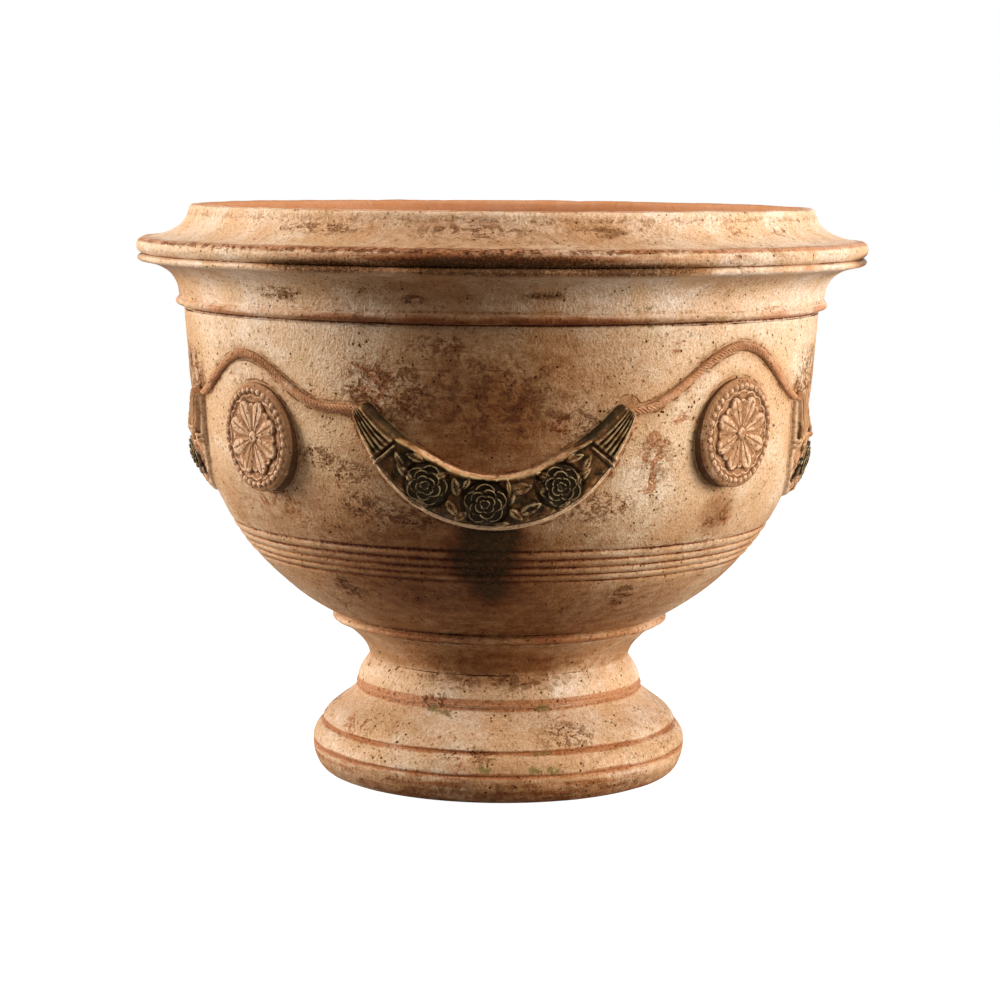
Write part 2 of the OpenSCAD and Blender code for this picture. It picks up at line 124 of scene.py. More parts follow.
# Outward normal and running length of a closed outline that runs anticlockwise
def outlineFrame(outline):
    ahead = np.roll(outline, -1, axis=0) - outline
    step = np.maximum(np.hypot(ahead[:, 0], ahead[:, 1]), 1e-9)
    unit = ahead / step[:, None]
    along = unit + np.roll(unit, 1, axis=0)
    along /= np.maximum(np.hypot(along[:, 0], along[:, 1]), 1e-9)[:, None]
    return np.stack([along[:, 1], -along[:, 0]], axis=1), np.concatenate([[0.0], np.cumsum(step)])


# How far each point of an outline stands out from the mean of its neighbours within the reach
def standProud(outline, normal, length, reach):
    closed = np.vstack([outline, outline[:1]])
    place = (length[:-1, None] + np.linspace(-reach, reach, 9)) % length[-1]
    mean = np.stack([np.interp(place, length, closed[:, k]).mean(axis=1) for k in (0, 1)], axis=1)
    return ((outline - mean) * normal).sum(axis=1)


# Mean of a height field over a square of grid cells round each point, edges repeated
def neighbourMean(field, cells):
    for axis in (0, 1):
        width = [(cells + 1, cells) if k == axis else (0, 0) for k in (0, 1)]
        total = np.cumsum(np.pad(field, width, mode="edge"), axis=axis)
        count = field.shape[axis]
        high = np.take(total, np.arange(count) + 2 * cells + 1, axis=axis)
        low = np.take(total, np.arange(count), axis=axis)
        field = (high - low) / (2 * cells + 1)
    return field


# Faces of a grid that closes on itself both ways, as a ring does
def ringFaces(rows, columns):
    i, j = np.meshgrid(np.arange(rows), np.arange(columns), indexing="ij")
    nextRow, nextColumn = (i + 1) % rows, (j + 1) % columns
    corners = [i * columns + j, i * columns + nextColumn,
               nextRow * columns + nextColumn, nextRow * columns + j]
    return np.stack(corners, axis=-1).reshape(-1, 4)


# Faces of a row of closed loops, and the fans that close both ends on two poles
def loopFaces(rows, columns):
    i, j = np.meshgrid(np.arange(rows - 1), np.arange(columns), indexing="ij")
    nextColumn = (j + 1) % columns
    corners = [i * columns + j, i * columns + nextColumn,
               (i + 1) * columns + nextColumn, (i + 1) * columns + j]
    quads = np.stack(corners, axis=-1).reshape(-1, 4)
    k = np.arange(columns)
    ahead = (k + 1) % columns
    last = (rows - 1) * columns
    first = np.stack([np.full(columns, rows * columns), ahead, k], axis=-1)
    final = np.stack([np.full(columns, rows * columns + 1), last + k, last + ahead], axis=-1)
    return quads, np.vstack([first, final])


# Signed volume of a closed mesh: a sixth of the sum of the corner products of its triangles
def signedVolume(points, quads, fans):
    triangles = np.vstack([quads[:, [0, 1, 2]], quads[:, [0, 2, 3]], fans])
    a, b, c = (points[triangles[:, k]] for k in range(3))
    return float((a * np.cross(b, c)).sum() / 6)


# One finished piece, turned to face outwards, in place of its node of the fixed frame
def addPiece(name, points, quads, fans, fields, material, nodeName, slotName):
    points = points.reshape(-1, 3)
    if signedVolume(points, quads, fans) < 0:
        quads, fans = quads[:, ::-1], fans[:, ::-1]
    mesh = bpy.data.meshes.new(name)
    mesh.vertices.add(len(points))
    mesh.vertices.foreach_set("co", points.astype(np.float32).ravel())
    mesh.loops.add(quads.size + fans.size)
    corners = np.concatenate([quads.ravel(), fans.ravel()]).astype(np.int32)
    mesh.loops.foreach_set("vertex_index", corners)
    starts = [np.arange(len(quads)) * 4, quads.size + np.arange(len(fans)) * 3]
    mesh.polygons.add(len(quads) + len(fans))
    mesh.polygons.foreach_set("loop_start", np.concatenate(starts).astype(np.int32))
    mesh.polygons.foreach_set("use_smooth", np.ones(len(quads) + len(fans), bool))
    mesh.update(calc_edges=True)
    for fieldName, values in fields.items():
        layer = mesh.attributes.new(fieldName, "FLOAT", "POINT")
        layer.data.foreach_set("value", values.astype(np.float32).ravel())
    mesh.materials.append(material)
    piece = bpy.data.objects.new(name, mesh)
    bpy.context.scene.collection.objects.link(piece)
    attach(piece, "root")
    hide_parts(nodeName)


# Adds the two poles that close a row of loops, each the mean of its loop, and their field values
def closeLoops(points, fields):
    poles = np.stack([points[0].mean(axis=0), points[-1].mean(axis=0)])
    closed = np.vstack([points.reshape(-1, 3), poles])
    ends = {k: np.concatenate([v.ravel(), [v[0].mean(), v[-1].mean()]]) for k, v in fields.items()}
    quads, fans = loopFaces(points.shape[0], points.shape[1])
    return closed, quads, fans, ends


# A pressed ornament: a closed row of loops. Its name is its node's, with the words run together
def addPressed(nodeName, points, fields, material, slotName):
    first, *rest = nodeName.split("_")
    name = first + "".join(word.capitalize() for word in rest)
    addPiece(name, *closeLoops(points, fields), material, nodeName, slotName)


# A thrown piece: a grid that closes on itself both ways
def addThrown(nodeName, points, fields, material):
    rows, columns = points.shape[:2]
    addPiece("thrown" + nodeName.capitalize(), points, ringFaces(rows, columns), np.zeros((0, 3), int),
             fields, material, nodeName, "cream_slip")
    print(nodeName, "thrown,", rows * columns * 2, "triangles")


# Materials are wired with these few helpers, which add nodes to the tree that was begun last
wiring = {}


# A value or colour in the tree. Its signs *, + and - add math nodes, so a material reads as a formula
class Wire:
    def __init__(self, socket):
        self.socket = socket

    def __mul__(self, other):
        return maths("MULTIPLY", self, other)

    def __add__(self, other):
        return maths("ADD", self, other)

    def __rsub__(self, other):
        return maths("SUBTRACT", other, self)


# Links a wire to a socket, or writes a plain value or colour, which may be named as in tint
def plug(value, socket):
    value = tint.get(value, value) if isinstance(value, str) else value
    if isinstance(value, Wire):
        wiring["tree"].links.new(value.socket, socket)
    elif isinstance(value, tuple) and len(value) < len(socket.default_value):
        socket.default_value = (*value, 1.0)
    else:
        socket.default_value = value


# Adds a node with its settings and inputs, and gives the wire from one of its outputs
def addNode(kind, inputs, output=0, **settings):
    node = wiring["tree"].nodes.new("ShaderNode" + kind)
    for key, value in settings.items():
        setattr(node, key, value)
    for key, value in inputs.items():
        plug(value, node.inputs[key])
    return Wire(node.outputs[output]) if len(node.outputs) else node


# Begins the nodes of a new material or world
def startTree(owner):
    owner.use_nodes = True
    wiring["tree"] = owner.node_tree
    owner.node_tree.nodes.clear()
    return owner


# Place on the object, in metres
def objectPlace():
    return addNode("TexCoord", {}, "Object")


# The finished surface: its colour, roughness, gloss and relief
def finishMaterial(material, colour, roughness, gloss, glossTint, height, distance, strength=1.0):
    normal = addNode("Bump", {"Distance": distance, "Strength": strength, "Height": height})
    surface = addNode("BsdfPrincipled", {"Base Color": colour, "Roughness": roughness, "Normal": normal,
                                         "Specular IOR Level": gloss, "Specular Tint": glossTint})
    addNode("OutputMaterial", {"Surface": surface})
    return material


def maths(operation, first, second=0.0):
    return addNode("Math", {0: first, 1: second}, operation=operation)


def larger(first, second):
    return maths("MAXIMUM", first, second)


# A field that the mesh carries at its points
def fieldValue(fieldName):
    return addNode("Attribute", {}, "Fac", attribute_name=fieldName)


# A place whose height counts more, so that a noise there lies in level streaks
def stretched(place, scale):
    return addNode("Mapping", {"Vector": place, "Scale": (1.0, 1.0, scale)})


# Noise from 0 to 1, with its grains per metre, finer layers, their strength and its distortion
def grain(place, scale, detail=3.0, roughness=0.55, distortion=0.0):
    return addNode("TexNoise", {"Vector": place, "Scale": scale, "Detail": detail,
                                "Roughness": roughness, "Distortion": distortion}, "Fac")


# 0 below the low value, 1 above the high one, a smooth step between
def between(value, low, high):
    return addNode("MapRange", {"Value": value, "From Min": low, "From Max": high},
                   interpolation_type="SMOOTHSTEP")


# Thin lines where a value passes through a middle one: full within a core of it, none past an edge
def thinLines(value, middle, core, edge):
    return 1.0 - between(maths("ABSOLUTE", maths("SUBTRACT", value, middle)), core, edge)


# Small round pits: the heart of a cell, in the share of the cells whose random number is high
def pits(place, scale, size, share):
    away = addNode("TexVoronoi", {"Vector": place, "Scale": scale}, "Distance")
    heart = 1.0 - between(away, size * 0.5, size)
    chance = addNode("SeparateColor", {"Color": Wire(away.socket.node.outputs["Color"])}, "Red")
    return heart * between(chance, 1 - share, 1.05 - share)


def blend(share, first, second, mode="MIX"):
    return addNode("Mix", {"Factor": share, "A": first, "B": second}, "Result", data_type="RGBA",
                   blend_type=mode)


def mixValue(share, first, second):
    return addNode("Mix", {"Factor": share, "A": first, "B": second}, "Result", data_type="FLOAT")


# A field of the mesh made stronger and weaker by a noise, so that its edge breaks up, from 0 to 1
def brokenEdge(field, noise, amount, low, high):
    return between(field * (noise * amount + (1 - amount / 2)), low, high)


# Colours of the fired surface, as linear values
tint = {
    "creamLight": (0.9, 0.72, 0.56),
    "creamPale": (0.88, 0.68, 0.49),
    "creamTan": (0.76, 0.49, 0.28),
    "creamPink": (0.8, 0.48, 0.29),
    "khaki": (0.62, 0.43, 0.21),
    "warmBrown": (0.35, 0.155, 0.062),
    "teaBrown": (0.235, 0.105, 0.04),
    "clay": (0.56, 0.235, 0.095),
    "clayDeep": (0.36, 0.135, 0.05),
    "plaqueTan": (0.5, 0.265, 0.125),
    "plaqueBrown": (0.4, 0.18, 0.078),
    "dirt": (0.09, 0.038, 0.014),
    "pit": (0.1, 0.04, 0.014),
    "tea": (0.51, 0.372, 0.26),
    "innerClay": (0.6, 0.29, 0.145),
    "cordOrange": (0.68, 0.34, 0.17),
    "breakTan": (0.54, 0.36, 0.17),
    "moss": (0.17, 0.125, 0.03),
    "glazeBlack": (0.024, 0.013, 0.005),
    "glazeGreen": (0.036, 0.024, 0.009),
    "glazeBrown": (0.15, 0.062, 0.02),
    "amber": (0.42, 0.2, 0.075),
}

# Sizes of the marks in the slip: scales are in marks per metre
slipMarks = {
    "pale": "creamPale",
    "cloudScale": 14.0,
    "patchScale": 9.0,
    "clusterScale": 38.0,
    "blotScale": 105.0,
    "mottleScale": 300.0,
    "sandScale": 560.0,
    "flakeScale": 46.0,
    "flakeLevel": 0.66,
    "curlScale": 120.0,
    "curlWidth": 0.045,
    "curlStretch": 1.0,
    "dashScale": 62.0,
    "pitScale": 175.0,
    "pitShare": 0.75,
    "bigPitScale": 95.0,
    "bigPitShare": 0.08,
    "glazeBreak": 2.4,
    "glazeFine": 0.15,
    "glazeCover": 0.88,
    "bump": 0.0016,
}
corniceMarks = {**slipMarks, "pale": "creamLight", "curlStretch": 5.0, "curlWidth": 0.06, "pitShare": 0.4,
                "glazeBreak": 4.2, "glazeFine": 0.55, "glazeCover": 0.74, "bump": 0.0018}
footMarks = {**slipMarks, "pale": "creamLight"}

# How thick the brown stain lies in each kind of mark, or how thick it is away from the places where
# marks gather and in them. A thickness of 1 lets the tint tea through. The soak and the crease darkening
# are partly painted shade
stain = {"soak": 1.35, "mottle": (0.2, 0.34), "sand": (0.26, 0.5), "speck": (1.0, 1.4), "stroke": 1.0,
         "dirt": 1.6, "rust": 0.05, "pit": 2.6, "halo": 1.1, "toolLine": 1.0}

# Groove that the tool left beside the ornaments: its distance from them, its core and its edge
toolLine = {"away": 0.0026, "core": 0.0003, "edge": 0.001}


# Cream slip over terracotta, worn through to the clay on edges and in flakes. Brown stain lies on
# it, and its tint is tea to the power of its thickness; in the soak and the creases part of it is painted
# shade. Last come moss, glaze runs and bare clay
def creamSlip(name, marks, hasOrnaments):
    material, place = startTree(bpy.data.materials.new(name)), objectPlace()
    wear, crease, rust, bare, soak, glaze, flaked, scratched, mossy = map(fieldValue, (
        "wear", "crease", "rust", "bare", "soak", "glaze", "flaked", "scratched", "mossy"))
    cloud = grain(place, marks["cloudScale"], 5.0, 0.6, 0.4)
    patch = grain(place, marks["patchScale"], 5.0, 0.62, 0.7)
    cluster = grain(place, marks["clusterScale"], 5.0, 0.65, 0.6)
    blot = grain(place, marks["blotScale"], 3.0, 0.6, 0.5)
    mottle = grain(place, marks["mottleScale"], 4.0, 0.62)
    sand = grain(place, marks["sandScale"], 1.0, 0.6)
    ragged = grain(place, marks["flakeScale"], 7.0, 0.66, 1.0)
    curly = grain(stretched(place, marks["curlStretch"]), marks["curlScale"], 3.0, 0.6, 1.8)
    level = stretched(place, 6.0)
    streak = grain(level, 26.0, 5.0, 0.65, 0.3)
    dashes = grain(level, marks["dashScale"], 4.0, 0.6, 0.6)

    # where the weathering gathers: in a few places, and thinly in clusters
    gather = larger(between(cluster * 0.55 + patch, 0.8, 0.95) * 0.16, scratched)

    colour = blend(between(cloud, 0.35, 0.62), marks["pale"], "creamTan")
    for noise, low, share, tintName in ((cluster, 0.5, 0.4, "khaki"), (ragged, 0.5, 0.5, "creamPink"),
                                        (blot, 0.44, 0.45, "creamTan")):
        colour = blend(between(noise, low, 0.66) * share, colour, tintName)

    # flakes, worn ridges and rusty hollows show the clay
    clay = blend(between(mottle, 0.48, 0.72), "clay", "clayDeep")
    flake = between(flaked * 0.21 + ragged, marks["flakeLevel"], marks["flakeLevel"] + 0.06)
    flake = flake * between(mottle, 0.36, 0.52)
    rub = brokenEdge(wear, streak, 2.0, 0.3, 0.95)
    rusty = brokenEdge(rust, streak, 1.2, 0.1, 0.7)
    for share in (flake, rub, rusty):
        colour = blend(share * 0.85, colour, clay)

    # marks of the stain: dark specks, curly strokes, level dashes and pits
    speck = between(gather * 0.045 + mottle, 0.635, 0.675)
    often = between(gather, 0.02, 0.5)
    width = marks["curlWidth"]
    stroke = larger(*(thinLines(curly, middle, width * 0.4, width) for middle in (0.5, 0.405)))
    dash = between(dashes, 0.575, 0.62) * between(cluster, 0.42, 0.52)
    stroke = larger(stroke * between(blot, 0.46, 0.55), dash) * often
    pit = pits(place, marks["pitScale"], 0.25, marks["pitShare"])
    pit = pit * larger(gather, between(cluster, 0.5, 0.62))
    hole = larger(pit, pits(place, marks["bigPitScale"], 0.13, marks["bigPitShare"]))
    # Darkening in the hollows of the outline: partly dirt, partly painted shade in creases, under beads and
    # between the lips
    creaseDirtAndShade = brokenEdge(crease, between(mottle, 0.38, 0.62), 1.1, 0.25, 0.95)
    marked = {"mottle": between(mottle, 0.46, 0.66), "sand": between(sand, 0.44, 0.6), "speck": speck,
              "stroke": stroke, "dirt": creaseDirtAndShade, "rust": rusty, "pit": hole,
              "halo": between(glaze, 0.05, 0.8)}
    height = mottle * 0.65 + streak * 0.4
    if hasOrnaments:
        line = thinLines(fieldValue("gap"), toolLine["away"], toolLine["core"], toolLine["edge"])
        marked["toolLine"] = line * between(streak, 0.46, 0.62)
        height = marked["toolLine"] * -0.6 + height
    for mark, depth in ((sand, 0.42), (flake, -0.3), (stroke, -0.55), (hole, -0.8), (speck, -0.4)):
        height = mark * depth + height

    # The soak thickness below is partly a brown stain and partly painted shade
    thickness = soak * mixValue(between(streak, 0.3, 0.7), 0.8, 1.15)
    thickness = thickness * mixValue(between(blot, 0.35, 0.65), 0.86, 1.14) * stain["soak"]
    for key, mark in marked.items():
        amount = mixValue(gather, *stain[key]) if isinstance(stain[key], tuple) else stain[key]
        thickness = mark * amount + thickness
    washed = addNode("Gamma", {"Color": "tea", "Gamma": thickness})
    colour = blend(1.0, colour, washed, "MULTIPLY")

    # moss-green spots
    spots = mossy * 0.22 + grain(place, 80.0, 5.0, 0.65)
    colour = blend(between(spots, 0.65, 0.76) * 0.85, colour, "moss")

    # glaze that ran or was brushed on, thin and speckled at its edge
    rough = mixValue(marks["glazeFine"], blot * 0.5 + mottle * 0.5, sand)
    ran = brokenEdge(glaze, rough, marks["glazeBreak"], 0.36, 0.92)
    dark = blend(between(cloud, 0.46, 0.62), "glazeBlack", "glazeGreen")
    dark = blend(between(mottle, 0.5, 0.74), dark, "glazeBrown")
    colour = blend(ran * marks["glazeCover"], colour, dark)

    inner = blend(between(cluster, 0.3, 0.7), "clay", "innerClay")
    inner = blend(between(mottle, 0.5, 0.74) * 0.5, inner, "clayDeep")
    colour = blend(bare, colour, inner)

    matt = larger(flake, larger(stroke, hole))
    shine = mixValue(between(cluster, 0.35, 0.7), 0.34, 0.56)
    shine = mixValue(ran, mixValue(matt, shine, 0.8), 0.22)
    return finishMaterial(material, colour, mixValue(bare, shine, 0.82), mixValue(ran, 0.11, 0.05),
                          (1.0, 0.9, 0.78), height * mixValue(bare, 1.0, 0.15), marks["bump"])


# Dark lead-brown glaze, black in the hollows (pooled glaze, and painted shade on the tips' bevels), brown
# and amber where it ran thin, tan on edges where it broke thin and as a painted highlight. The border turns
# from brown to a rubbed clay edge, and a cream hem shows at the foot
def darkGlaze(name, brownness, edgeBreakAndHighlight, gloss, thinTint):
    material, place = startTree(bpy.data.materials.new(name)), objectPlace()
    relief, rim, hem = map(fieldValue, ("relief", "rim", "hem"))
    cloud = grain(place, 38.0, 4.0, 0.6, 0.5)
    fine = grain(place, 330.0, 4.0, 0.6)
    patch = grain(place, 56.0, 5.0, 0.65, 0.9)
    dark = blend(between(cloud, 0.42, 0.62), "glazeBlack", "glazeGreen")
    thinness = patch * 3.2 + (relief * 0.18 + (fine * 0.8 + rim))
    colour = dark
    for low, high, share, tintName in ((1.98, 2.5, 0.88, "glazeBrown"), (2.55, 3.05, 0.8, thinTint)):
        colour = blend(between(thinness, low - brownness, high - brownness) * share, colour, tintName)
    # Hollows go black: partly glaze pooled thick, partly painted shade on the tips' bevels
    colour = blend(between(relief * -1.0, 0.25, 0.95) * 0.75, colour, dark)
    rough = grain(place, 130.0, 3.0, 0.6) * 0.7 + fine * 0.3
    # Raised edges turn tan: partly where the glaze broke thin, partly a painted highlight on petal and leaf
    # rims
    colour = blend(brokenEdge(relief, rough, 6.0, 0.4, 1.15) * edgeBreakAndHighlight, colour, "breakTan")
    rimShare = brokenEdge(rim, patch, 1.6, 0.74, 1.04)
    colour = blend(rimShare * 0.92, colour, blend(between(fine, 0.36, 0.62), "creamTan", "clay"))
    hemShare = brokenEdge(hem, patch, 1.2, 0.3, 0.9)
    colour = blend(hemShare * 0.9, colour, blend(between(fine, 0.45, 0.7), "creamTan", "warmBrown"))
    shine = mixValue(larger(rimShare, hemShare), mixValue(between(patch, 0.4, 0.7), 0.14, 0.3), 0.45)
    height = fine * 0.5 + patch
    return finishMaterial(material, colour, shine, gloss, (1.0, 0.72, 0.46), height, 0.0006, 0.8)


# Rubbed clay of two tints, with worn cream patches, brown hollows and pits, and creases darkened partly as
# dirt and partly as painted shade
def rubbedClay(name, firstTint, secondTint, creamShare, brownShare, creamOnHigh):
    material, place = startTree(bpy.data.materials.new(name)), objectPlace()
    relief, crease = fieldValue("relief"), fieldValue("crease")
    patch = grain(place, 48.0, 6.0, 0.65, 0.7)
    mottle = grain(place, 280.0, 4.0, 0.65)
    fine = grain(place, 560.0, 3.0, 0.62)
    clay = blend(between(patch, 0.35, 0.65), firstTint, secondTint)
    cream = blend(between(mottle, 0.4, 0.64), "creamPink", "creamTan")
    worn = between(relief * creamOnHigh + patch, 0.58 - creamShare, 0.7 - creamShare)
    colour = blend(worn, clay, cream)
    hole = pits(place, 210.0, 0.26, 0.7)
    # The crease share paints shade on the medallions' sides and the cords' flanks, and dirt in hollows
    for share, tintName in ((between(mottle, 0.44, 0.62) * brownShare, "warmBrown"),
                            (between(fine, 0.48, 0.64) * 0.26, "teaBrown"),
                            (between(relief * -1.0, 0.02, 0.48) * 0.88, "warmBrown"),
                            (brokenEdge(crease, mottle, 1.4, 0.45, 1.05) * 0.85, "dirt"),
                            (hole * 0.8, "pit")):
        colour = blend(share, colour, tintName)
    shine = mixValue(hole, mixValue(worn, 0.58, 0.42), 0.8)
    return finishMaterial(material, colour, shine, 0.1, (1.0, 1.0, 1.0),
                          hole * -0.8 + (fine * 0.5 + mottle), 0.0014)


wallSlip = creamSlip("creamSlipWithToolLines", slipMarks, True)
footSlip = creamSlip("creamSlip", footMarks, False)
corniceSlip = creamSlip("crackedCreamSlip", corniceMarks, False)
garlandGlaze = darkGlaze("garlandGlaze", 0.38, 0.7, 0.18, "amber")
roseGlaze = darkGlaze("roseGlaze", -0.3, 0.56, 0.26, "amber")
sideGlaze = darkGlaze("thinGarlandGlaze", 1.0, 0.6, 0.15, "cordOrange")
cordClay = rubbedClay("rubbedClay", "cordOrange", "clay", 0.04, 0.3, -0.1)
plaqueClay = rubbedClay("creamPlaque", "plaqueTan", "plaqueBrown", 0.08, 0.42, 0.22)
print("materials wired")

# The wall of the bowl: its outline grows from the stem bead to the top joint
wall = {
    "waistLevel": footBox[1][2],
    "jointLevel": bowlBox[1][2],
    "stemHeight": 0.036,
    "stemBeadHeight": 0.009,
    "stemBeadOut": 0.006,
    "waistRadius": 0.1305,
    "lowRadius": 0.162,
    "bellyRadius": bowlBox[1][0],
    "power": 3.32,
    "fullness": 0.873,
    "lean": 0.126,
    "thickness": 0.021,
    "floorThickness": 0.026,
    "spigotRadius": 0.1065,
    "drainRadius": 0.02,
    "lineCount": 5,
    "lineLow": 0.065,
    "linePitch": 0.0065,
    "linePitchStep": 0.0003,
    "lineWidth": 0.0021,
    "lineDepth": 0.0017,
    "rollHeight": 0.0009,
    "lineReach": 0.0042,
    "columns": 400,
}
wall["beadLevel"] = wall["waistLevel"] + wall["stemHeight"]
wall["lowLevel"] = wall["beadLevel"] + wall["stemBeadHeight"]
wall["height"] = wall["jointLevel"] - wall["lowLevel"]


# Radius of the bowl at a level: a share of the way from the low to the belly radius, which is
# 1 less a power of what is left of the height, with a straight lean mixed in
def bowlAt(z):
    t = np.clip((z - wall["lowLevel"]) / wall["height"], 0.0, 1.0)
    curved = (1 - (1 - t) ** wall["power"]) ** wall["fullness"]
    share = (1 - wall["lean"]) * curved + wall["lean"] * t
    return wall["lowRadius"] + (wall["bellyRadius"] - wall["lowRadius"]) * share


# Levels of the scored lines: each pitch is a step wider than the one below it
def lineLevels():
    i = np.arange(wall["lineCount"])
    return wall["lowLevel"] + wall["lineLow"] + i * (wall["linePitch"] + wall["linePitchStep"] * i)


# Depth of the scored lines at a level: a bell for each groove, less the round rolls of clay that
# stand between the grooves
def lineCut(z):
    levels = lineLevels()
    cut = wall["lineDepth"] * bell((z[:, None] - levels) / wall["lineWidth"])
    middle, half = (levels[1:] + levels[:-1]) / 2, np.diff(levels) / 2
    rolls = np.sqrt(np.clip(1 - ((z[:, None] - middle) / half) ** 2, 0, 1))
    return cut.sum(axis=1) - wall["rollHeight"] * rolls.sum(axis=1)


# How the hand-thrown clay strays from its true outline: a slow sway, low lumps, throwing rings and
# chips. An outline point is a ridge or a hollow by how far it stands off the mean within the reach
unevenness = {"sway": 0.0008, "swayCell": 0.24, "lumps": 0.0004, "lumpCell": 0.034,
              "rings": 0.00013, "ringCell": 0.03, "ringsInside": 2.6, "chipDepth": 0.0016,
              "chipCell": 0.009, "chipLevel": 0.45, "ridgeReach": 0.0042, "ridgeHeight": 0.0007,
              "hollowDepth": 0.0006}


# Height of the wall above its true outline: the sway and the lumps, each a noise of its own cell
def wallShift(points):
    sway = unevenness["sway"] * latticeNoise(points, unevenness["swayCell"], 3)
    return sway + unevenness["lumps"] * layeredNoise(points, unevenness["lumpCell"], 5, 3)


# Outline of a thrown piece, joined from its courses. Each course has its points and its finish:
# 1 where slip covers it, then the strengths of the wear on its ridges, and of the darkening, partly dirt
# and partly painted shade, and of the rust in its hollows
def joinCourses(courses):
    outline = np.vstack([np.asarray(points, float) for points, _ in courses])
    return outline, np.vstack([np.tile(finish, (len(points), 1)) for points, finish in courses])


bareClay = (0, 0, 0, 0)


# A thrown piece: its outline is turned about the axis and moved along its normals by the
# unevenness, throwing rings and chips on its ridges
def throwPiece(courses, columns, chipShare):
    outline, finish = joinCourses(courses)
    outside = finish[:, 0]
    normal, length = outlineFrame(outline)
    proud = standProud(outline, normal, length, unevenness["ridgeReach"])
    wear = np.clip(proud / unevenness["ridgeHeight"], 0, 1)
    crease = np.clip(-proud / unevenness["hollowDepth"], 0, 1)
    angle = np.arange(columns) * fullTurn / columns
    sine, cosine = np.sin(angle), np.cos(angle)
    radius, level = outline[:, :1], outline[:, 1:]

    def turned(r, z):
        return np.stack([r * sine, -r * cosine, z + 0 * sine], axis=-1)

    plain = turned(radius, level)
    rings = latticeNoise(plain * np.array([1.0, 1.0, 8.0]), unevenness["ringCell"], 11)
    chips = np.clip(layeredNoise(plain, unevenness["chipCell"], 17, 2) - unevenness["chipLevel"], 0, 1)
    ringShare = np.where(outside > 0.5, 1.0, unevenness["ringsInside"])[:, None] * unevenness["rings"]
    shift = wallShift(plain) + ringShare * rings
    shift -= chipShare * unevenness["chipDepth"] * chips * wear[:, None]
    shift *= np.where(level > 0.0005, 1.0, 0.0)
    points = turned(radius + shift * normal[:, :1], level + shift * normal[:, 1:])
    spread = np.ones((1, columns))
    degrees, height = np.degrees(angle)[None, :] * np.ones((len(outline), 1)), level * spread
    covered = (outside[:, None] > 0.5) * spread
    uneven = 1 + 0.55 * layeredNoise(plain * np.array([1.0, 1.0, 5.0]), 0.05, 37, 3)
    lined = reachOf(clayLines, degrees, height, 0.5) * covered
    rubbed = np.maximum((wear * finish[:, 1])[:, None] * spread, lined)
    fields = {"wear": rubbed * uneven, "bare": 1 - covered,
              "crease": (crease * finish[:, 2])[:, None] * uneven,
              "rust": (crease * finish[:, 3])[:, None] * uneven,
              "glaze": covered * reachOf(glazeRuns, degrees, height, 0.6),
              "soak": covered * reachOf(brownSoaksAndShade, degrees, height, 0.75) * (1 - 0.35 * wear)[:, None],
              "flaked": reachOf(clayFlakes, degrees, height, 0.6),
              "scratched": reachOf(scratchPlaces, degrees, height, 0.6),
              "mossy": reachOf(mossPlaces, degrees, height, 0.6)}
    return points, fields, degrees, height


# Places that the dark glaze or the brown soaking reached, with painted shade in the brown soaks. Each is an
# angle, a level, half of its spread in degrees and in metres, and its strength
glazeRuns = [
    (0.5, 0.5215, 18, 0.0092, 0.98), (19, 0.5175, 13, 0.006, 0.85), (-25, 0.5185, 11, 0.0062, 0.8),
    (-0.4, 0.272, 6.6, 0.026, 0.95), (-2, 0.246, 7.6, 0.026, 0.9), (-0.8, 0.222, 4.4, 0.022, 0.8),
    (88, 0.5175, 17, 0.007, 0.95), (92, 0.262, 5, 0.02, 0.85), (178, 0.5175, 22, 0.008, 1.15),
    (181, 0.25, 6, 0.036, 0.95), (205, 0.517, 12, 0.006, 0.8), (268, 0.5175, 14, 0.007, 0.9),
    (266, 0.266, 4, 0.022, 0.8),
]
# Brown soaks: partly a real brown stain, partly painted shade on the middle of the front, the low bowl, the
# waist and the cove, copied round to the other sides
brownSoaksAndShade = [
    (2, 0.41, 20, 0.07, 0.85), (-2, 0.385, 14, 0.06, 1.42), (-4, 0.33, 18, 0.05, 1.08),
    (-10, 0.225, 32, 0.07, 1.62), (0, 0.18, 50, 0.05, 1.32), (0, 0.13, 400, 0.016, 0.6),
    (0, 0.13, 40, 0.018, 1.45), (0, 0.04, 40, 0.012, 0.4), (-6, 0.499, 19, 0.018, 0.72),
    (0, 0.545, 28, 0.018, 0.6), (-18, 0.012, 60, 0.016, 0.75), (180, 0.012, 80, 0.016, 0.75),
    (0, 0.008, 60, 0.012, 1.05), (-6, 0.272, 36, 0.012, 0.6), (0, 0.4695, 32, 0.0042, 1.7),
    (0, 0.5225, 26, 0.011, 0.85), (0, 0.06, 400, 0.03, 0.22), (0, 0.545, 400, 0.018, 0.12),
    (-40, 0.27, 28, 0.046, 0.62), (40, 0.235, 30, 0.05, 0.42), (-50, 0.2, 30, 0.05, 0.5),
    (47, 0.283, 4.5, 0.022, 0.9), (-44, 0.293, 6, 0.018, 0.65), (98, 0.35, 14, 0.11, 0.16),
    (90, 0.215, 30, 0.06, 0.6), (96, 0.493, 10, 0.024, 0.3), (180, 0.38, 24, 0.09, 0.7),
    (180, 0.215, 34, 0.065, 0.9), (180, 0.493, 24, 0.026, 0.6), (270, 0.35, 20, 0.11, 0.5),
    (270, 0.215, 30, 0.06, 0.6), (270, 0.493, 22, 0.024, 0.45), (133, 0.286, 5, 0.02, 0.6),
    (226, 0.286, 5, 0.02, 0.6), (140, 0.225, 30, 0.055, 0.4), (222, 0.23, 30, 0.055, 0.4),
]

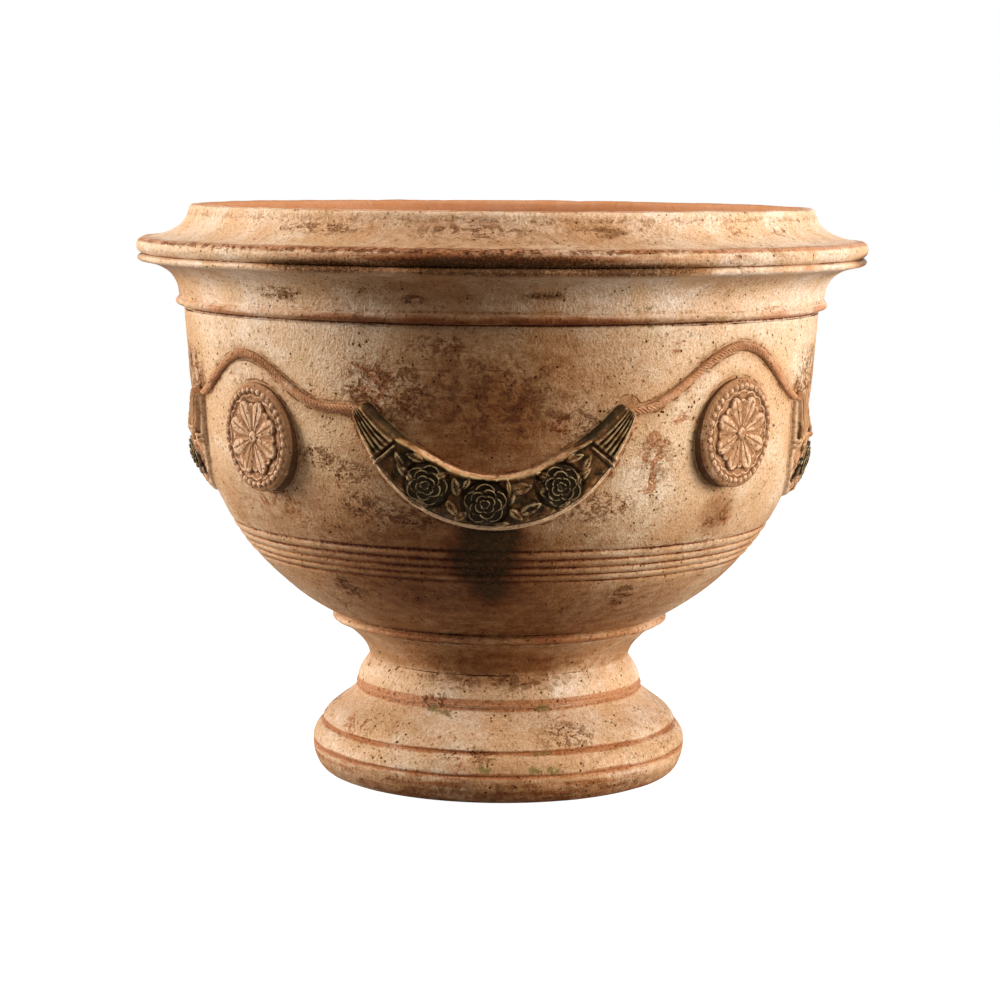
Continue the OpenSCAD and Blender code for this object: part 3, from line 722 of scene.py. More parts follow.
# Edges that are rubbed to the clay all round, and places that are in part, in the same form
clayLines = [
    (0, 0.5335, 400, 0.002, 0.85), (0, 0.469, 400, 0.0026, 0.8), (0, 0.515, 400, 0.0012, 0.5),
    (0, 0.0912, 400, 0.0034, 1.1), (0, 0.05, 400, 0.003, 0.95), (0, 0.029, 400, 0.0036, 1),
    (0, 0.02, 400, 0.003, 0.62), (0, 0.0115, 400, 0.0026, 0.62), (0, 0.0035, 400, 0.004, 0.7),
    (0, 0.153, 400, 0.002, 0.6), (0, 0.47, 36, 0.0042, 0.95), (0, 0.5275, 34, 0.004, 0.75),
]

# Places where the slip flaked off to the clay, where brown strokes and pits gather, and where moss
# took hold, in the same form
clayFlakes = [
    (25, 0.325, 6, 0.034, 0.42), (33, 0.372, 6, 0.026, 0.4), (-20, 0.408, 6, 0.026, 0.95),
    (-13, 0.392, 4, 0.014, 0.8), (-37, 0.49, 5, 0.007, 0.8), (12, 0.38, 4, 0.012, 0.9),
    (28.7, 0.356, 3.2, 0.016, 1), (29, 0.323, 3, 0.016, 0.9), (31.5, 0.447, 2.5, 0.008, 0.6),
    (34.4, 0.365, 2.5, 0.01, 0.6), (43.5, 0.549, 2, 0.006, 0.8), (55, 0.547, 2.5, 0.008, 0.9),
    (-44, 0.296, 5, 0.016, 0.8), (46.8, 0.286, 4, 0.018, 0.6), (4, 0.373, 3, 0.01, 0.5),
    (-26, 0.32, 4, 0.018, 0.4), (-52, 0.06, 10, 0.02, 0.6), (75, 0.4, 9, 0.024, 0.9),
    (112, 0.25, 6, 0.022, 0.9), (150, 0.405, 8, 0.02, 0.9), (196, 0.372, 7, 0.022, 0.8),
    (232, 0.24, 7, 0.02, 0.9), (283, 0.41, 9, 0.02, 0.9),
]
scratchPlaces = [
    (-30, 0.55, 8, 0.005, 0.38), (-3.5, 0.549, 8.5, 0.006, 0.36), (17, 0.549, 5, 0.005, 0.34),
    (0, 0.559, 400, 0.0028, 0.2), (-20, 0.533, 50, 0.0024, 0.6), (-37, 0.491, 5, 0.006, 0.5),
    (-12.8, 0.489, 1.6, 0.004, 0.9), (8, 0.494, 3, 0.003, 0.6), (-18, 0.405, 8, 0.03, 0.55),
    (-9, 0.448, 5, 0.008, 0.55), (-32.5, 0.342, 4, 0.01, 0.7), (-26, 0.328, 3.5, 0.01, 0.65),
    (-24, 0.299, 4, 0.014, 0.7), (-37, 0.21, 3, 0.01, 0.9), (31, 0.207, 3, 0.009, 0.8),
    (14, 0.378, 5, 0.016, 0.4), (29, 0.34, 4, 0.026, 0.3), (0, 0.405, 14, 0.04, 0.3),
    (18, 0.3, 8, 0.014, 0.45), (-14, 0.29, 8, 0.012, 0.5), (24, 0.062, 9, 0.012, 0.45),
    (-8, 0.048, 8, 0.006, 0.6), (-24, 0.092, 5, 0.006, 0.8), (0, 0.012, 60, 0.012, 0.25),
    (0, 0.11, 30, 0.01, 0.35), (78, 0.402, 10, 0.03, 0.8), (110, 0.33, 8, 0.02, 0.8),
    (152, 0.41, 10, 0.026, 0.8), (182, 0.549, 14, 0.007, 0.9), (215, 0.3, 8, 0.022, 0.8),
    (236, 0.49, 8, 0.007, 0.8), (284, 0.4, 10, 0.028, 0.8), (260, 0.06, 12, 0.016, 0.8),
]
mossPlaces = [
    (24, 0.4805, 3.2, 0.0045, 0.9), (19, 0.084, 7, 0.007, 0.75), (14, 0.052, 5, 0.006, 0.85),
    (15, 0.036, 7, 0.006, 0.9), (-3, 0.036, 3, 0.004, 0.8), (-22, 0.083, 5, 0.006, 0.7),
    (-15, 0.004, 5, 0.005, 0.8), (140, 0.48, 5, 0.005, 0.8), (200, 0.06, 9, 0.012, 0.8),
]


# Strongest of a list of places at each point: a soft oval bell round each one's middle
def reachOf(places, angle, level, edge):
    strongest = np.zeros(angle.shape)
    for middle, height, halfAngle, halfHeight, strength in places:
        away = (angle - middle + 180.0) % 360.0 - 180.0
        oval = np.hypot(away / halfAngle, (level - height) / halfHeight)
        strongest = np.maximum(strongest, strength * smoothStep((1 + edge - oval) / (2 * edge)))
    return strongest


# Garlands: each hangs along part of an ellipse. Turns are in degrees from its lowest point
garland = {
    "lowLevel": wall["jointLevel"] - 0.16,
    "halfSpan": 0.16,
    "rise": 0.24,
    "width": 0.051,
    "bandWidth": 0.038,
    "tipWidth": 0.0185,
    "tipRound": 0.006,
    "bandTurn": 37.0,
    "tipTurn": 50.5,
    "bed": 0.0062,
    "borderHeight": 0.003,
    "borderWidth": 0.0066,
    "hemDrop": 0.0024,
    "hemWidth": 0.003,
    "bandHeight": 0.0028,
    "bandThickness": 0.0034,
    "bandSpacing": 0.0056,
    "fluteCount": 5,
    "fluteLow": -0.78,
    "bevelWidth": 0.0068,
    "fluteDepth": 0.003,
    "bevelDrop": 0.0042,
    "tipHeight": 0.0104,
    "leafHeight": 0.003,
    "borderLeaf": (13.5, 17, 98, 15, 5),
    "sinkDepth": 0.0026,
    "sinkAway": 0.0008,
    "sinkWidth": 0.0022,
    "edgeRound": 0.003,
    "filletWidth": 0.0022,
    "rosePlaces": {"left": -0.059, "middle": -0.007, "right": 0.059},
    "lengthSteps": 400,
    "widthSteps": 92,
}

# Leaves of a garland: place along the wall, level above the middle rose, direction in degrees,
# length and width, all but the direction in millimetres
leaves = [
    (25, 15, 16, 20, 12), (16, 9, 80, 22, 9), (33, -4, 28, 23, 11), (20, -10, -42, 16, 9),
    (-33, 16, 100, 18, 11), (-23, 19, 60, 13, 7), (-36, -5, -56, 19, 9), (-29, -13, 218, 15, 8),
    (79, 26, 44, 22, 9), (72, 43, 20, 18, 9), (83, 38, 62, 17, 7), (44, 27, 160, 16, 8),
    (-79, 28, 134, 22, 9), (-69, 42, 158, 18, 9), (-84, 40, 118, 17, 7), (-46, 26, 20, 16, 8),
    (63, -1, 40, 15, 7), (-64, 0, 140, 15, 7), (8, -19, 4, 15, 6), (-2, 23, 170, 14, 6),
    (41, 17, 120, 16, 8),
]


# Middle line of a garland: half the span times the sine of the turn along the wall, and the rise
# times 1 less its cosine above the lowest level
def garlandMiddle(turn):
    a = np.radians(turn)
    level = garland["lowLevel"] + garland["rise"] * (1 - np.cos(a))
    return np.stack([garland["halfSpan"] * np.sin(a), level], axis=-1)


# Unit vector across the garland, towards its upper edge: the middle line's direction, turned left
def garlandAcross(turn):
    a = np.radians(turn)
    across = np.stack([-garland["rise"] * np.sin(a), garland["halfSpan"] * np.cos(a)], axis=-1)
    return across / np.hypot(across[..., :1], across[..., 1:])


# Width: full in the middle, falling with the fourth power to the bands, then evenly to the tips
def garlandWidth(turn):
    g = garland
    share = np.abs(turn) / g["bandTurn"]
    body = g["bandWidth"] + (g["width"] - g["bandWidth"]) * (1 - share ** 4)
    past = np.clip((np.abs(turn) - g["bandTurn"]) / (g["tipTurn"] - g["bandTurn"]), 0, 1)
    tip = g["bandWidth"] + (g["tipWidth"] - g["bandWidth"]) * past
    return np.where(share < 1, body, tip)


# A point on the wall: distance along it from the side's middle, level, and height above it
def onWall(along, level, rise, sideAngle):
    radius = bowlAt(level)
    angle = math.radians(sideAngle) + along / radius
    flat = np.stack([radius * np.sin(angle), -radius * np.cos(angle), level], axis=-1)
    out = radius + rise + wallShift(flat)
    return np.stack([out * np.sin(angle), -out * np.cos(angle), level], axis=-1)


# Height of a rounded edge at a distance inside it: a quarter circle, then full height.
# Outside, a hollow fillet of slip runs out into the wall
def edgeHeight(inside, full, roundness, fillet):
    t = np.clip(inside / roundness, 0, 1)
    quarter = full * np.sqrt(1 - (1 - t) ** 2)
    foot = 0.0012 * np.clip(1 + inside / fillet, 0, 1) ** 2 - 0.0006
    return np.where(inside > 0, quarter + 0.0006, foot)


leafMarks = {"edge": 0.0012, "midribWidth": 0.0006, "midribDepth": 0.42, "veinPitch": 0.003,
             "veinDepth": 0.1}


# Relief of one leaf: a lens that swells from its midrib groove to both sides, with side veins
def leafRelief(x, z, leaf):
    s, up, direction, length, width = leaf
    turn = math.radians(direction)
    dx, dz = x - 0.001 * s, z - 0.001 * up
    along = (dx * math.cos(turn) + dz * math.sin(turn)) / (0.0005 * length)
    across = -dx * math.sin(turn) + dz * math.cos(turn)
    half = 0.0005 * width * np.clip(1 - along ** 2, 0, 1) ** 0.75 * (1 - 0.25 * along)
    inside = smoothStep((half - np.abs(across)) / leafMarks["edge"])
    midrib = leafMarks["midribDepth"] * bell(across / leafMarks["midribWidth"])
    fromMidrib = along * 0.0005 * length - np.abs(across)
    veins = leafMarks["veinDepth"] * np.cos(fullTurn * fromMidrib / leafMarks["veinPitch"])
    lens = 0.55 + 0.45 * (1 - np.clip(np.abs(across) / np.maximum(half, 1e-5), 0, 1) ** 2)
    return inside * (lens - midrib + veins * (np.abs(along) < 0.85))


# Roses: each ring of petals has its edge as a share of the radius, its lip's and its cup's height,
# and its count of petals
rose = {"diameter": 0.04, "height": 0.0083, "fullHeight": 0.0087, "rows": 88, "columns": 112,
        "edgeRound": 0.0016, "petalEdge": 0.0007, "lipInset": 0.0011, "lipWidth": 0.00085,
        "cupReach": 0.0032, "notchWidth": 0.0006, "notchDepth": 0.0008, "backDepth": 0.0015,
        "rings": [(1.0, 0.0052, 0.0024, 5), (0.76, 0.007, 0.0044, 5),
                  (0.5, 0.0082, 0.0058, 4), (0.27, 0.0087, 0.0068, 3)]}


# Middle of a rose: on the garland's middle line, at the turn whose sine is its place along the wall
# over half the span
def roseMiddle(placeName):
    turn = math.degrees(math.asin(garland["rosePlaces"][placeName] / garland["halfSpan"]))
    return garlandMiddle(np.array(turn))


# Height of a garland above the wall, and the shares of border, hem and relief.
# The bed carries leaves, sinks round the roses, and rises to the border, bands and flutes
def garlandRelief(turn, v, along, level, seed):
    g = garland
    half = garlandWidth(turn) / 2
    inside = half * (1 - np.abs(v))
    across = v * half
    above = level - g["lowLevel"]
    pastBand = smoothStep((np.abs(turn) - g["bandTurn"]) / 0.8)
    ridge = 1 - g["bevelWidth"] / half

    leafy = np.zeros(along.shape)
    for leaf in leaves:
        leafy = np.maximum(leafy, leafRelief(along, above, leaf))
    leafy = np.maximum(leafy, 1.2 * leafRelief(along, above, g["borderLeaf"]))
    body = g["bed"] + g["leafHeight"] * leafy
    for placeName in g["rosePlaces"]:
        middle = roseMiddle(placeName)
        near = np.hypot(along - middle[0], level - middle[1]) - rose["diameter"] / 2
        body -= g["sinkDepth"] * bell((near - g["sinkAway"]) / g["sinkWidth"])
    thinMiddle = 0.62 + 0.38 * smoothStep(np.abs(turn) / 16.0)
    nearTip = smoothStep((np.abs(turn) - g["bandTurn"] + 9) / 9)
    borderWidth = g["borderWidth"] * thinMiddle * (1 - 0.5 * nearTip)
    inset = nearTip * (g["bevelWidth"] - borderWidth)
    borderMiddle = half - borderWidth / 2 - inset
    border = smoothStep(1 - np.abs(borderMiddle - across) / (borderWidth / 2))
    border *= 1 - pastBand
    body += g["borderHeight"] * np.sqrt(border)
    outside = smoothStep((across - borderMiddle) / (0.4 * borderWidth + inset)) * nearTip
    body -= g["bevelDrop"] * outside
    fromLow = half + across
    hem = smoothStep((1.5 * g["hemWidth"] - fromLow) / (0.5 * g["hemWidth"]))
    seam = g["hemDrop"] * hem + 0.0012 * bell((fromLow - 1.6 * g["hemWidth"]) / 0.0009)
    body -= seam

    fluteShare = (v - g["fluteLow"]) / (ridge - g["fluteLow"])
    flutes = 0.5 - 0.5 * np.cos(fullTurn * g["fluteCount"] * fluteShare)
    fluted = (fluteShare > 0) & (fluteShare < 1)
    tip = g["tipHeight"] - g["fluteDepth"] * np.where(fluted, 1 - flutes ** 0.6, 1.0)
    tip -= g["bevelDrop"] * smoothStep((v - ridge) / (1 - ridge)) + 1.2 * seam
    full = body * (1 - pastBand) + tip * pastBand
    speed = np.hypot(g["halfSpan"] * np.cos(np.radians(turn)), g["rise"] * np.sin(np.radians(turn)))
    fromBand = np.radians(np.abs(turn) - g["bandTurn"]) * speed
    for shift in (-0.5, 0.5):
        rib = np.clip(1 - ((fromBand - shift * g["bandSpacing"]) / (g["bandThickness"] / 2)) ** 2, 0, 1)
        rib = (rib > 0) * (0.4 + 0.6 * np.sqrt(rib)) * smoothStep((ridge - v) / 0.25)
        full = np.maximum(full, (g["bed"] + g["bandHeight"]) * rib)

    flat = np.stack([along, level, 0 * along + seed], axis=-1)
    full += 0.0012 * layeredNoise(flat, 0.011, 27 + seed, 2) * (1 - border) * (1 - pastBand)
    full += 0.00035 * layeredNoise(flat, 0.005, 21 + seed, 3)
    fromEnd = np.radians(g["tipTurn"] - np.abs(turn)) * speed
    corner = np.hypot(np.clip(g["tipRound"] - inside, 0, 1), np.clip(g["tipRound"] - fromEnd, 0, 1))
    edge = np.where(fromEnd < g["tipRound"], np.minimum(g["tipRound"] - corner, inside), inside)
    height = edgeHeight(edge, full, g["edgeRound"], g["filletWidth"])
    relief = np.clip((height - neighbourMean(height, 4)) / 0.001, -1, 1)
    # The tips' bevels and the strip outside the border near the tips are forced to low relief, which the
    # glaze darkens: painted shade on their side walls
    bevel = smoothStep((v - ridge - 0.06) / 0.2) * pastBand
    relief = np.minimum(relief, 1 - 1.9 * np.maximum(bevel, outside))
    rim = smoothStep((across - half + inset) / (0.9 * borderWidth) + 1) * (1 - pastBand) * (1 - outside)
    rim = np.maximum(rim, 1.1 * leafRelief(along, above, g["borderLeaf"]))
    return height, rim, hem, relief


# A garland: its relief on a grid along the turn and across the width, with columns that crowd at
# the edges as a sine does, closed by a plain back just inside the wall
def buildGarland(sideName, sideAngle, seed):
    g = garland
    turn = np.linspace(-g["tipTurn"], g["tipTurn"], g["lengthSteps"])[:, None]
    overhang = 2 * g["filletWidth"] / garlandWidth(turn)
    crowd = 0.93 * math.pi / 2
    share = np.sin(np.linspace(-1, 1, g["widthSteps"]) * crowd) / math.sin(crowd)
    v = share[None, :] * (1 + overhang)
    middle, across = garlandMiddle(turn), garlandAcross(turn)
    place = middle + across * (v * garlandWidth(turn) / 2)[..., None]
    along, level = place[..., 0], place[..., 1]
    height, rim, hem, relief = garlandRelief(turn, v, along, level, seed)
    front = onWall(along, level, height, sideAngle)
    backV = np.linspace(0.9, -0.9, 6)[None, :]
    behind = middle + across * (backV * garlandWidth(turn) / 2)[..., None]
    back = onWall(behind[..., 0], behind[..., 1], np.full(behind.shape[:2], -0.0015), sideAngle)
    none = np.zeros(back.shape[:2])
    fields = {"relief": np.hstack([relief, none]), "rim": np.hstack([rim, none]),
              "hem": np.hstack([hem, none])}
    glaze = garlandGlaze if sideName in ("front", "back") else sideGlaze
    addPressed("garland_" + sideName, np.concatenate([front, back], axis=1), fields, glaze, "dark_glaze")


# Relief of a rose at a share of its radius and an angle: four rings of petals, each a cup that
# rises outwards to a curled lip and drops steeply to the next. A petal's edge bulges in its
# middle, leans to one side and is notched where it meets its neighbour
def roseRelief(q, a, seed):
    radius = rose["diameter"] / 2
    height = np.full(q.shape, 0.0012)
    wobble = 0.035 * latticeNoise(np.stack([np.cos(a), np.sin(a), 0 * a + seed], axis=-1), 0.6, seed)
    for k, (edge, lip, cup, count) in enumerate(rose["rings"]):
        phase = 1.7 * seed + 2.1 * k
        local = ((a - phase) * count / fullTurn) % 1.0 - 0.5
        reach = edge * (1 - 0.42 * local ** 2 * 2 + 0.1 * local - 0.02) + wobble * (edge > 0.3)
        notch = bell((0.5 - np.abs(local)) * fullTurn / count * q * radius / rose["notchWidth"])
        away = (reach - q) * radius
        lipShare = bell((away - rose["lipInset"]) / rose["lipWidth"])
        curl = lipShare * 0.55 + 0.45 * np.exp(-np.clip(away, 0, 1) / rose["cupReach"])
        petal = cup + (lip - cup) * curl - rose["notchDepth"] * notch * (q > 0.12)
        inside = smoothStep(away / rose["petalEdge"])
        height = height * (1 - inside) + petal * inside
    spiral = np.cos(a - 9.0 * q + seed)
    return height + 0.0005 * spiral * bell(q / 0.16)


# A rose: its relief on rings from the rim to the middle, rounded by a quarter circle at the rim,
# and a plain back of three rings inside the garland
def buildRose(sideName, sideAngle, placeName, seed):
    middle = roseMiddle(placeName)
    radius = rose["diameter"] / 2
    a = -np.arange(rose["columns"])[None, :] * fullTurn / rose["columns"]
    q = np.linspace(1.0, 0.012, rose["rows"])[:, None] + 0 * a
    height = roseRelief(q, a, seed) * rose["height"] / rose["fullHeight"]
    rounded = np.sqrt(1 - (1 - np.clip((1 - q) * radius / rose["edgeRound"], 0, 1)) ** 2)
    height = height * rounded - rose["backDepth"] * (1 - rounded)
    flat = np.stack([q * np.cos(a), q * np.sin(a), 0 * q], axis=-1)
    height += 0.00018 * layeredNoise(flat, 0.12, seed, 3)
    relief = np.clip((height - neighbourMean(height, 5)) / 0.0009, -1, 1)
    backQ = np.array([0.3, 0.7, 0.98])[:, None] + 0 * a
    q, a = np.vstack([backQ, q]), np.vstack([a[:1]] * (len(backQ) + rose["rows"]))
    rise = garland["bed"] - 0.0006 + np.vstack([0 * backQ - 0.0022, height])
    points = onWall(middle[0] + q * radius * np.cos(a), middle[1] + q * radius * np.sin(a), rise, sideAngle)
    none = np.zeros(backQ.shape)
    fields = {"relief": np.vstack([none, relief]), "rim": 0 * q, "hem": 0 * q}
    addPressed("rose_" + sideName + "_" + placeName, points, fields, roseGlaze, "dark_glaze")


# Medallions: upright oval plaques with a rim, a ring of beads and an eight-petalled rosette
medallion = {
    "width": 0.095,
    "height": 0.102,
    "level": wall["jointLevel"] - 0.106,
    "thickness": 0.0065,
    "lean": math.radians(4.5),
    "edgeRound": 0.0035,
    "rimWidth": 0.006,
    "rimHeight": 0.0008,
    "beadCount": 36,
    "beadRing": 0.865,
    "beadRadius": 0.0028,
    "beadHeight": 0.0021,
    "scallopCount": 18,
    "scallopHeight": 0.0013,
    "petalCount": 8,
    "petalReach": 0.7,
    "petalHeight": 0.0038,
    "bossReach": 0.13,
    "rows": 120,
    "columns": 208,
    "thin": {"front_left": 0.001, "front_right": 0.0, "back_left": 0.0012, "back_right": 0.0},
    "levelShift": {"front_left": -0.004, "front_right": 0.0045, "back_left": 0.001, "back_right": -0.001},
    "turnShift": {"front_left": -0.7, "front_right": 0.9, "back_left": 0.3, "back_right": -0.2},
}


# Relief on a plaque at a share q of its oval and an angle: a rounded rim, beads, a ring of
# scallops, two layers of petals with midribs, and a boss with a dimple
def plaqueRelief(q, a, seed):
    m = medallion
    half = m["width"] / 2
    rimMiddle = 1 - (m["edgeRound"] + m["rimWidth"] / 2) / half
    relief = m["rimHeight"] * bell((q - rimMiddle) * half / (m["rimWidth"] * 0.42))
    scallop = 0.735 + 0.045 * np.abs(np.sin(a * m["scallopCount"] / 2))
    relief += m["scallopHeight"] * bell((q - scallop) * half / 0.0009)
    beadTurn = (a * m["beadCount"] / fullTurn) % 1.0 - 0.5
    beadAway = np.hypot(beadTurn * fullTurn / m["beadCount"] * q * half, (q - m["beadRing"]) * half)
    bead = np.sqrt(np.clip(1 - (beadAway / m["beadRadius"]) ** 2, 0, 1))
    relief += m["beadHeight"] * bead
    for shift, reach, rise in ((0.5, 0.9, 0.62), (0.0, 1.0, 1.0)):
        turn = (a * m["petalCount"] / fullTurn + shift) % 1.0 - 0.5
        t = np.clip(q / (m["petalReach"] * reach), 0, 1)
        wide = 0.47 * np.clip(1 - np.abs(2 * t ** 1.25 - 1) ** 2.6, 0, 1) ** 0.6
        sideways = np.abs(turn) / np.maximum(wide, 1e-4)
        petal = smoothStep((1 - sideways) * 3.0) * (1 - 0.35 * sideways ** 2)
        petal *= (0.55 + 0.45 * t) * (t < 1)
        rib = 0.3 * bell(turn * fullTurn / m["petalCount"] * q * half / 0.0007) * petal
        relief = np.maximum(relief, m["petalHeight"] * rise * (petal - rib))
    boss = np.sqrt(np.clip(1 - (q / m["bossReach"]) ** 2, 0, 1))
    relief = np.maximum(relief, m["petalHeight"] * (1.15 * boss - 0.35 * bell(q / 0.05)))
    flat = np.stack([q * np.cos(a), q * np.sin(a), 0 * q + seed], axis=-1)
    return relief + 0.00025 * layeredNoise(flat, 0.12, 31 + seed, 3)


# A medallion: oval rings that climb from the wall up its side, round its edge by a quarter circle
# and over a face that leans back and curves with the wall, and a plain back inside the wall
def buildMedallion(cornerName, cornerAngle, seed):
    m = medallion
    columns, half = m["columns"], m["width"] / 2
    middle = m["level"] + m["levelShift"][cornerName]
    a = -np.arange(columns)[None, :] * fullTurn / columns
    side = np.array([1.05, 1.02, 1.004, 1.0, 1.0])[:, None]
    sideShare = np.array([0.0, 0.04, 0.12, 0.45, 0.8])[:, None]
    turn = np.radians(np.linspace(0, 90, 9))[:, None]
    edgeQ = 1 - m["edgeRound"] / half * (1 - np.cos(turn))
    edgeDrop = m["edgeRound"] * (1 - np.sin(turn))
    faceQ = np.linspace(edgeQ[-1, 0], 0.01, m["rows"])[1:, None]

    def faceRadius(x, dz):
        top = bowlAt(middle + m["height"] / 2) + m["thickness"] - m["thin"][cornerName]
        return top - (m["height"] / 2 - dz) * math.tan(m["lean"]) - x ** 2 / (4 * wall["bellyRadius"])

    q = np.vstack([side, edgeQ, faceQ]) + 0 * a
    aAll = a + 0 * q
    x, dz = q * half * np.cos(aAll), q * m["height"] / 2 * np.sin(aAll)
    level = middle + dz
    relief = plaqueRelief(q, aAll, seed) * (np.vstack([0 * side, 0 * edgeQ + 1, 0 * faceQ + 1]))
    drop = np.vstack([0 * side + m["edgeRound"], edgeDrop, 0 * faceQ])
    face = faceRadius(x, dz) - drop + relief
    wallRadius = np.sqrt(np.maximum(bowlAt(level) ** 2 - x ** 2, 0.01)) - 0.0012
    climb = np.vstack([sideShare, 0 * edgeQ + 1, 0 * faceQ + 1])
    depth = wallRadius * (1 - climb) + face * climb
    backQ = np.array([0.12, 0.4, 0.7, 1.0])[:, None] + 0 * a
    backX, backZ = backQ * half * np.cos(a), middle + backQ * m["height"] / 2 * np.sin(a)
    backDepth = np.sqrt(bowlAt(backZ) ** 2 - backX ** 2) - 0.0025
    x, level, depth = np.vstack([backX, x]), np.vstack([backZ, level]), np.vstack([backDepth, depth])
    corner = math.radians(cornerAngle + m["turnShift"][cornerName])

    def placed(out):
        return np.stack([x * math.cos(corner) + out * math.sin(corner),
                         x * math.sin(corner) - out * math.cos(corner), level], axis=-1)

    points = placed(depth + wallShift(placed(depth)))
    raisedBy = np.vstack([0 * backQ, np.clip((relief - neighbourMean(relief, 6)) / 0.0009, -1, 1)])
    # Crease field: the side rows get 1.15, painted shade on the plaque's side wall; the face's hollows get
    # dirt and painted shade
    sideShadeAndHollows = np.vstack([0 * backQ + 1, 0 * side + 1.15 + 0 * a, np.clip(-raisedBy[4 + len(side):], 0, 1)])
    fields = {"relief": raisedBy, "crease": sideShadeAndHollows}
    addPressed("medallion_" + cornerName, points, fields, plaqueClay, "terracotta")


# Cords: half-round, they leave one garland's tip and rise in a wave over the medallion
cord = {"width": 0.0074, "height": 0.0052, "endLift": -0.001, "overMedallion": 0.029, "notchPitch": 0.0036,
        "notchDepth": 0.0013, "lengthSteps": 480, "crownSteps": 22, "tuck": 2.2, "taper": 0.35,
        "crownRise": {"front_left": -0.007, "front_right": 0.005, "back_left": 0.003, "back_right": -0.003},
        "crownShift": {"front_left": -3.2, "front_right": 0.8, "back_left": 0.5, "back_right": -0.5},
        "reach": {"front_left": 19.3, "front_right": 22.6, "back_left": 21.0, "back_right": 20.5}}


# Middle line of a cord: a single wave of the cosine, within its reach on each side of the crown
def cordLine(u, cornerName):
    c = cord
    end = garlandMiddle(np.array(garland["tipTurn"] - 1.0))
    halfTurn = 45.0 - math.degrees(end[0] / bowlAt(end[1])) + c["tuck"] - 1.6
    low = end[1] + c["endLift"]
    top = medallion["level"] + medallion["height"] / 2 + c["overMedallion"] + c["crownRise"][cornerName]
    phase = np.clip((u * halfTurn - c["crownShift"][cornerName]) / c["reach"][cornerName], -1, 1)
    return np.radians(u * halfTurn), low + (top - low) * (1 + np.cos(math.pi * phase)) / 2


# A cord: a rounded profile carried along its middle line. Slanting waves of the length cut its twist
# marks where a noise lets them, and another noise makes it thick and thin
def buildCord(cornerName, cornerAngle, seed):
    c = cord
    u = np.linspace(-1, 1, c["lengthSteps"])[:, None]
    angle, level = cordLine(u, cornerName)
    sideways = np.gradient(angle[:, 0]) * bowlAt(level[:, 0])
    along = np.stack([sideways, np.gradient(level[:, 0])], axis=-1)[:, None]
    speed = np.hypot(along[..., 0], along[..., 1])
    across = np.stack([-along[..., 1], along[..., 0]], axis=-1) / speed[..., None]
    crown = np.linspace(0, math.pi, c["crownSteps"])[None, :]
    v = np.concatenate([[[-1.4, -1.15]], -np.cos(crown), [[1.15, 1.4]]], axis=1)
    length = np.cumsum(speed[:, 0])[:, None]
    twist = 0.5 + 0.5 * np.cos(fullTurn * (length + v * c["width"] * 0.45) / c["notchPitch"])
    none = 0 * length * v
    flat = np.stack([length + none, 0.2 * v * c["width"] + none, none + seed], axis=-1)
    notched = smoothStep(0.5 + 1.6 * latticeNoise(flat, 0.045, 41 + seed))
    profile = np.concatenate([[[-0.0008, 0.0002]], 0.0011 + (c["height"] - 0.0011) * np.sin(crown) ** 0.85,
                              [[0.0002, -0.0008]]], axis=1)
    crownShare = np.concatenate([[[0, 0]], np.sin(crown), [[0, 0]]], axis=1)
    taper = 1 - c["taper"] * smoothStep((np.abs(u) - 0.78) / 0.2)
    thick = (1 + 0.14 * latticeNoise(flat, 0.018, 43 + seed)) * taper
    rise = profile * thick - c["notchDepth"] * (1 - twist) * notched * crownShare
    rise += 0.0002 * layeredNoise(flat * np.array([1, 5, 1]), 0.006, 45, 2)
    reach = v * c["width"] / 2 * (1 + 0.08 * latticeNoise(flat, 0.025, 47 + seed)) * taper
    z = level + across[..., 1] * reach
    s = (math.radians(cornerAngle) + angle) + across[..., 0] * reach / bowlAt(level)
    front = onWall((s - math.radians(cornerAngle)) * bowlAt(z), z, rise, cornerAngle)
    back = front[:, [-1, 0]] * np.array([0.993, 0.993, 1.0])
    points = np.concatenate([front, back], axis=1)
    relief = np.clip((rise - neighbourMean(rise, 2)) / 0.0006, -1, 1)
    # Crease field: the cord's flanks by the wall are darkened as painted shade, its notches as dirt and
    # painted shade
    crease = np.clip(1.0 - crownShare * 2.2, 0, 1) * 0.7 + np.clip(-relief, 0, 1) * 0.5
    none = np.zeros((len(u), 2))
    fields = {"relief": np.hstack([relief, none]), "crease": np.hstack([crease, none])}
    addPressed("cord_" + cornerName, points, fields, cordClay, "terracotta")


# Distance on the wall from the nearest garland, cord or medallion: the least distance to points
# of its middle line, less half of its width
def ornamentGap(angle, level):
    local = np.radians((angle + 45.0) % 90.0 - 45.0)
    x, z = local * bowlAt(level), level
    turn = np.linspace(-garland["tipTurn"], garland["tipTurn"], 90)
    middle, half = garlandMiddle(turn), garlandWidth(turn) / 2
    nearest = np.full(x.shape, 1.0)
    for k in range(len(turn)):
        nearest = np.minimum(nearest, np.hypot(x - middle[k, 0], z - middle[k, 1]) - half[k])
    for cornerName, cornerAngle in cornerAngles.items():
        turned = np.radians((angle - cornerAngle + 180.0) % 360.0 - 180.0)
        for u in np.linspace(-1, 1, 90):
            cordAngle, cordLevel = cordLine(u, cornerName)
            away = np.hypot((turned - cordAngle) * bowlAt(level), level - cordLevel)
            nearest = np.minimum(nearest, away - cord["width"] / 2)
        middleLevel = medallion["level"] + medallion["levelShift"][cornerName]
        aside = turned - math.radians(medallion["turnShift"][cornerName])
        oval = np.hypot(aside * bowlAt(level) / (medallion["width"] / 2),
                        (level - middleLevel) / (medallion["height"] / 2))
        nearest = np.minimum(nearest, (oval - 1) * medallion["width"] / 2)
    return nearest


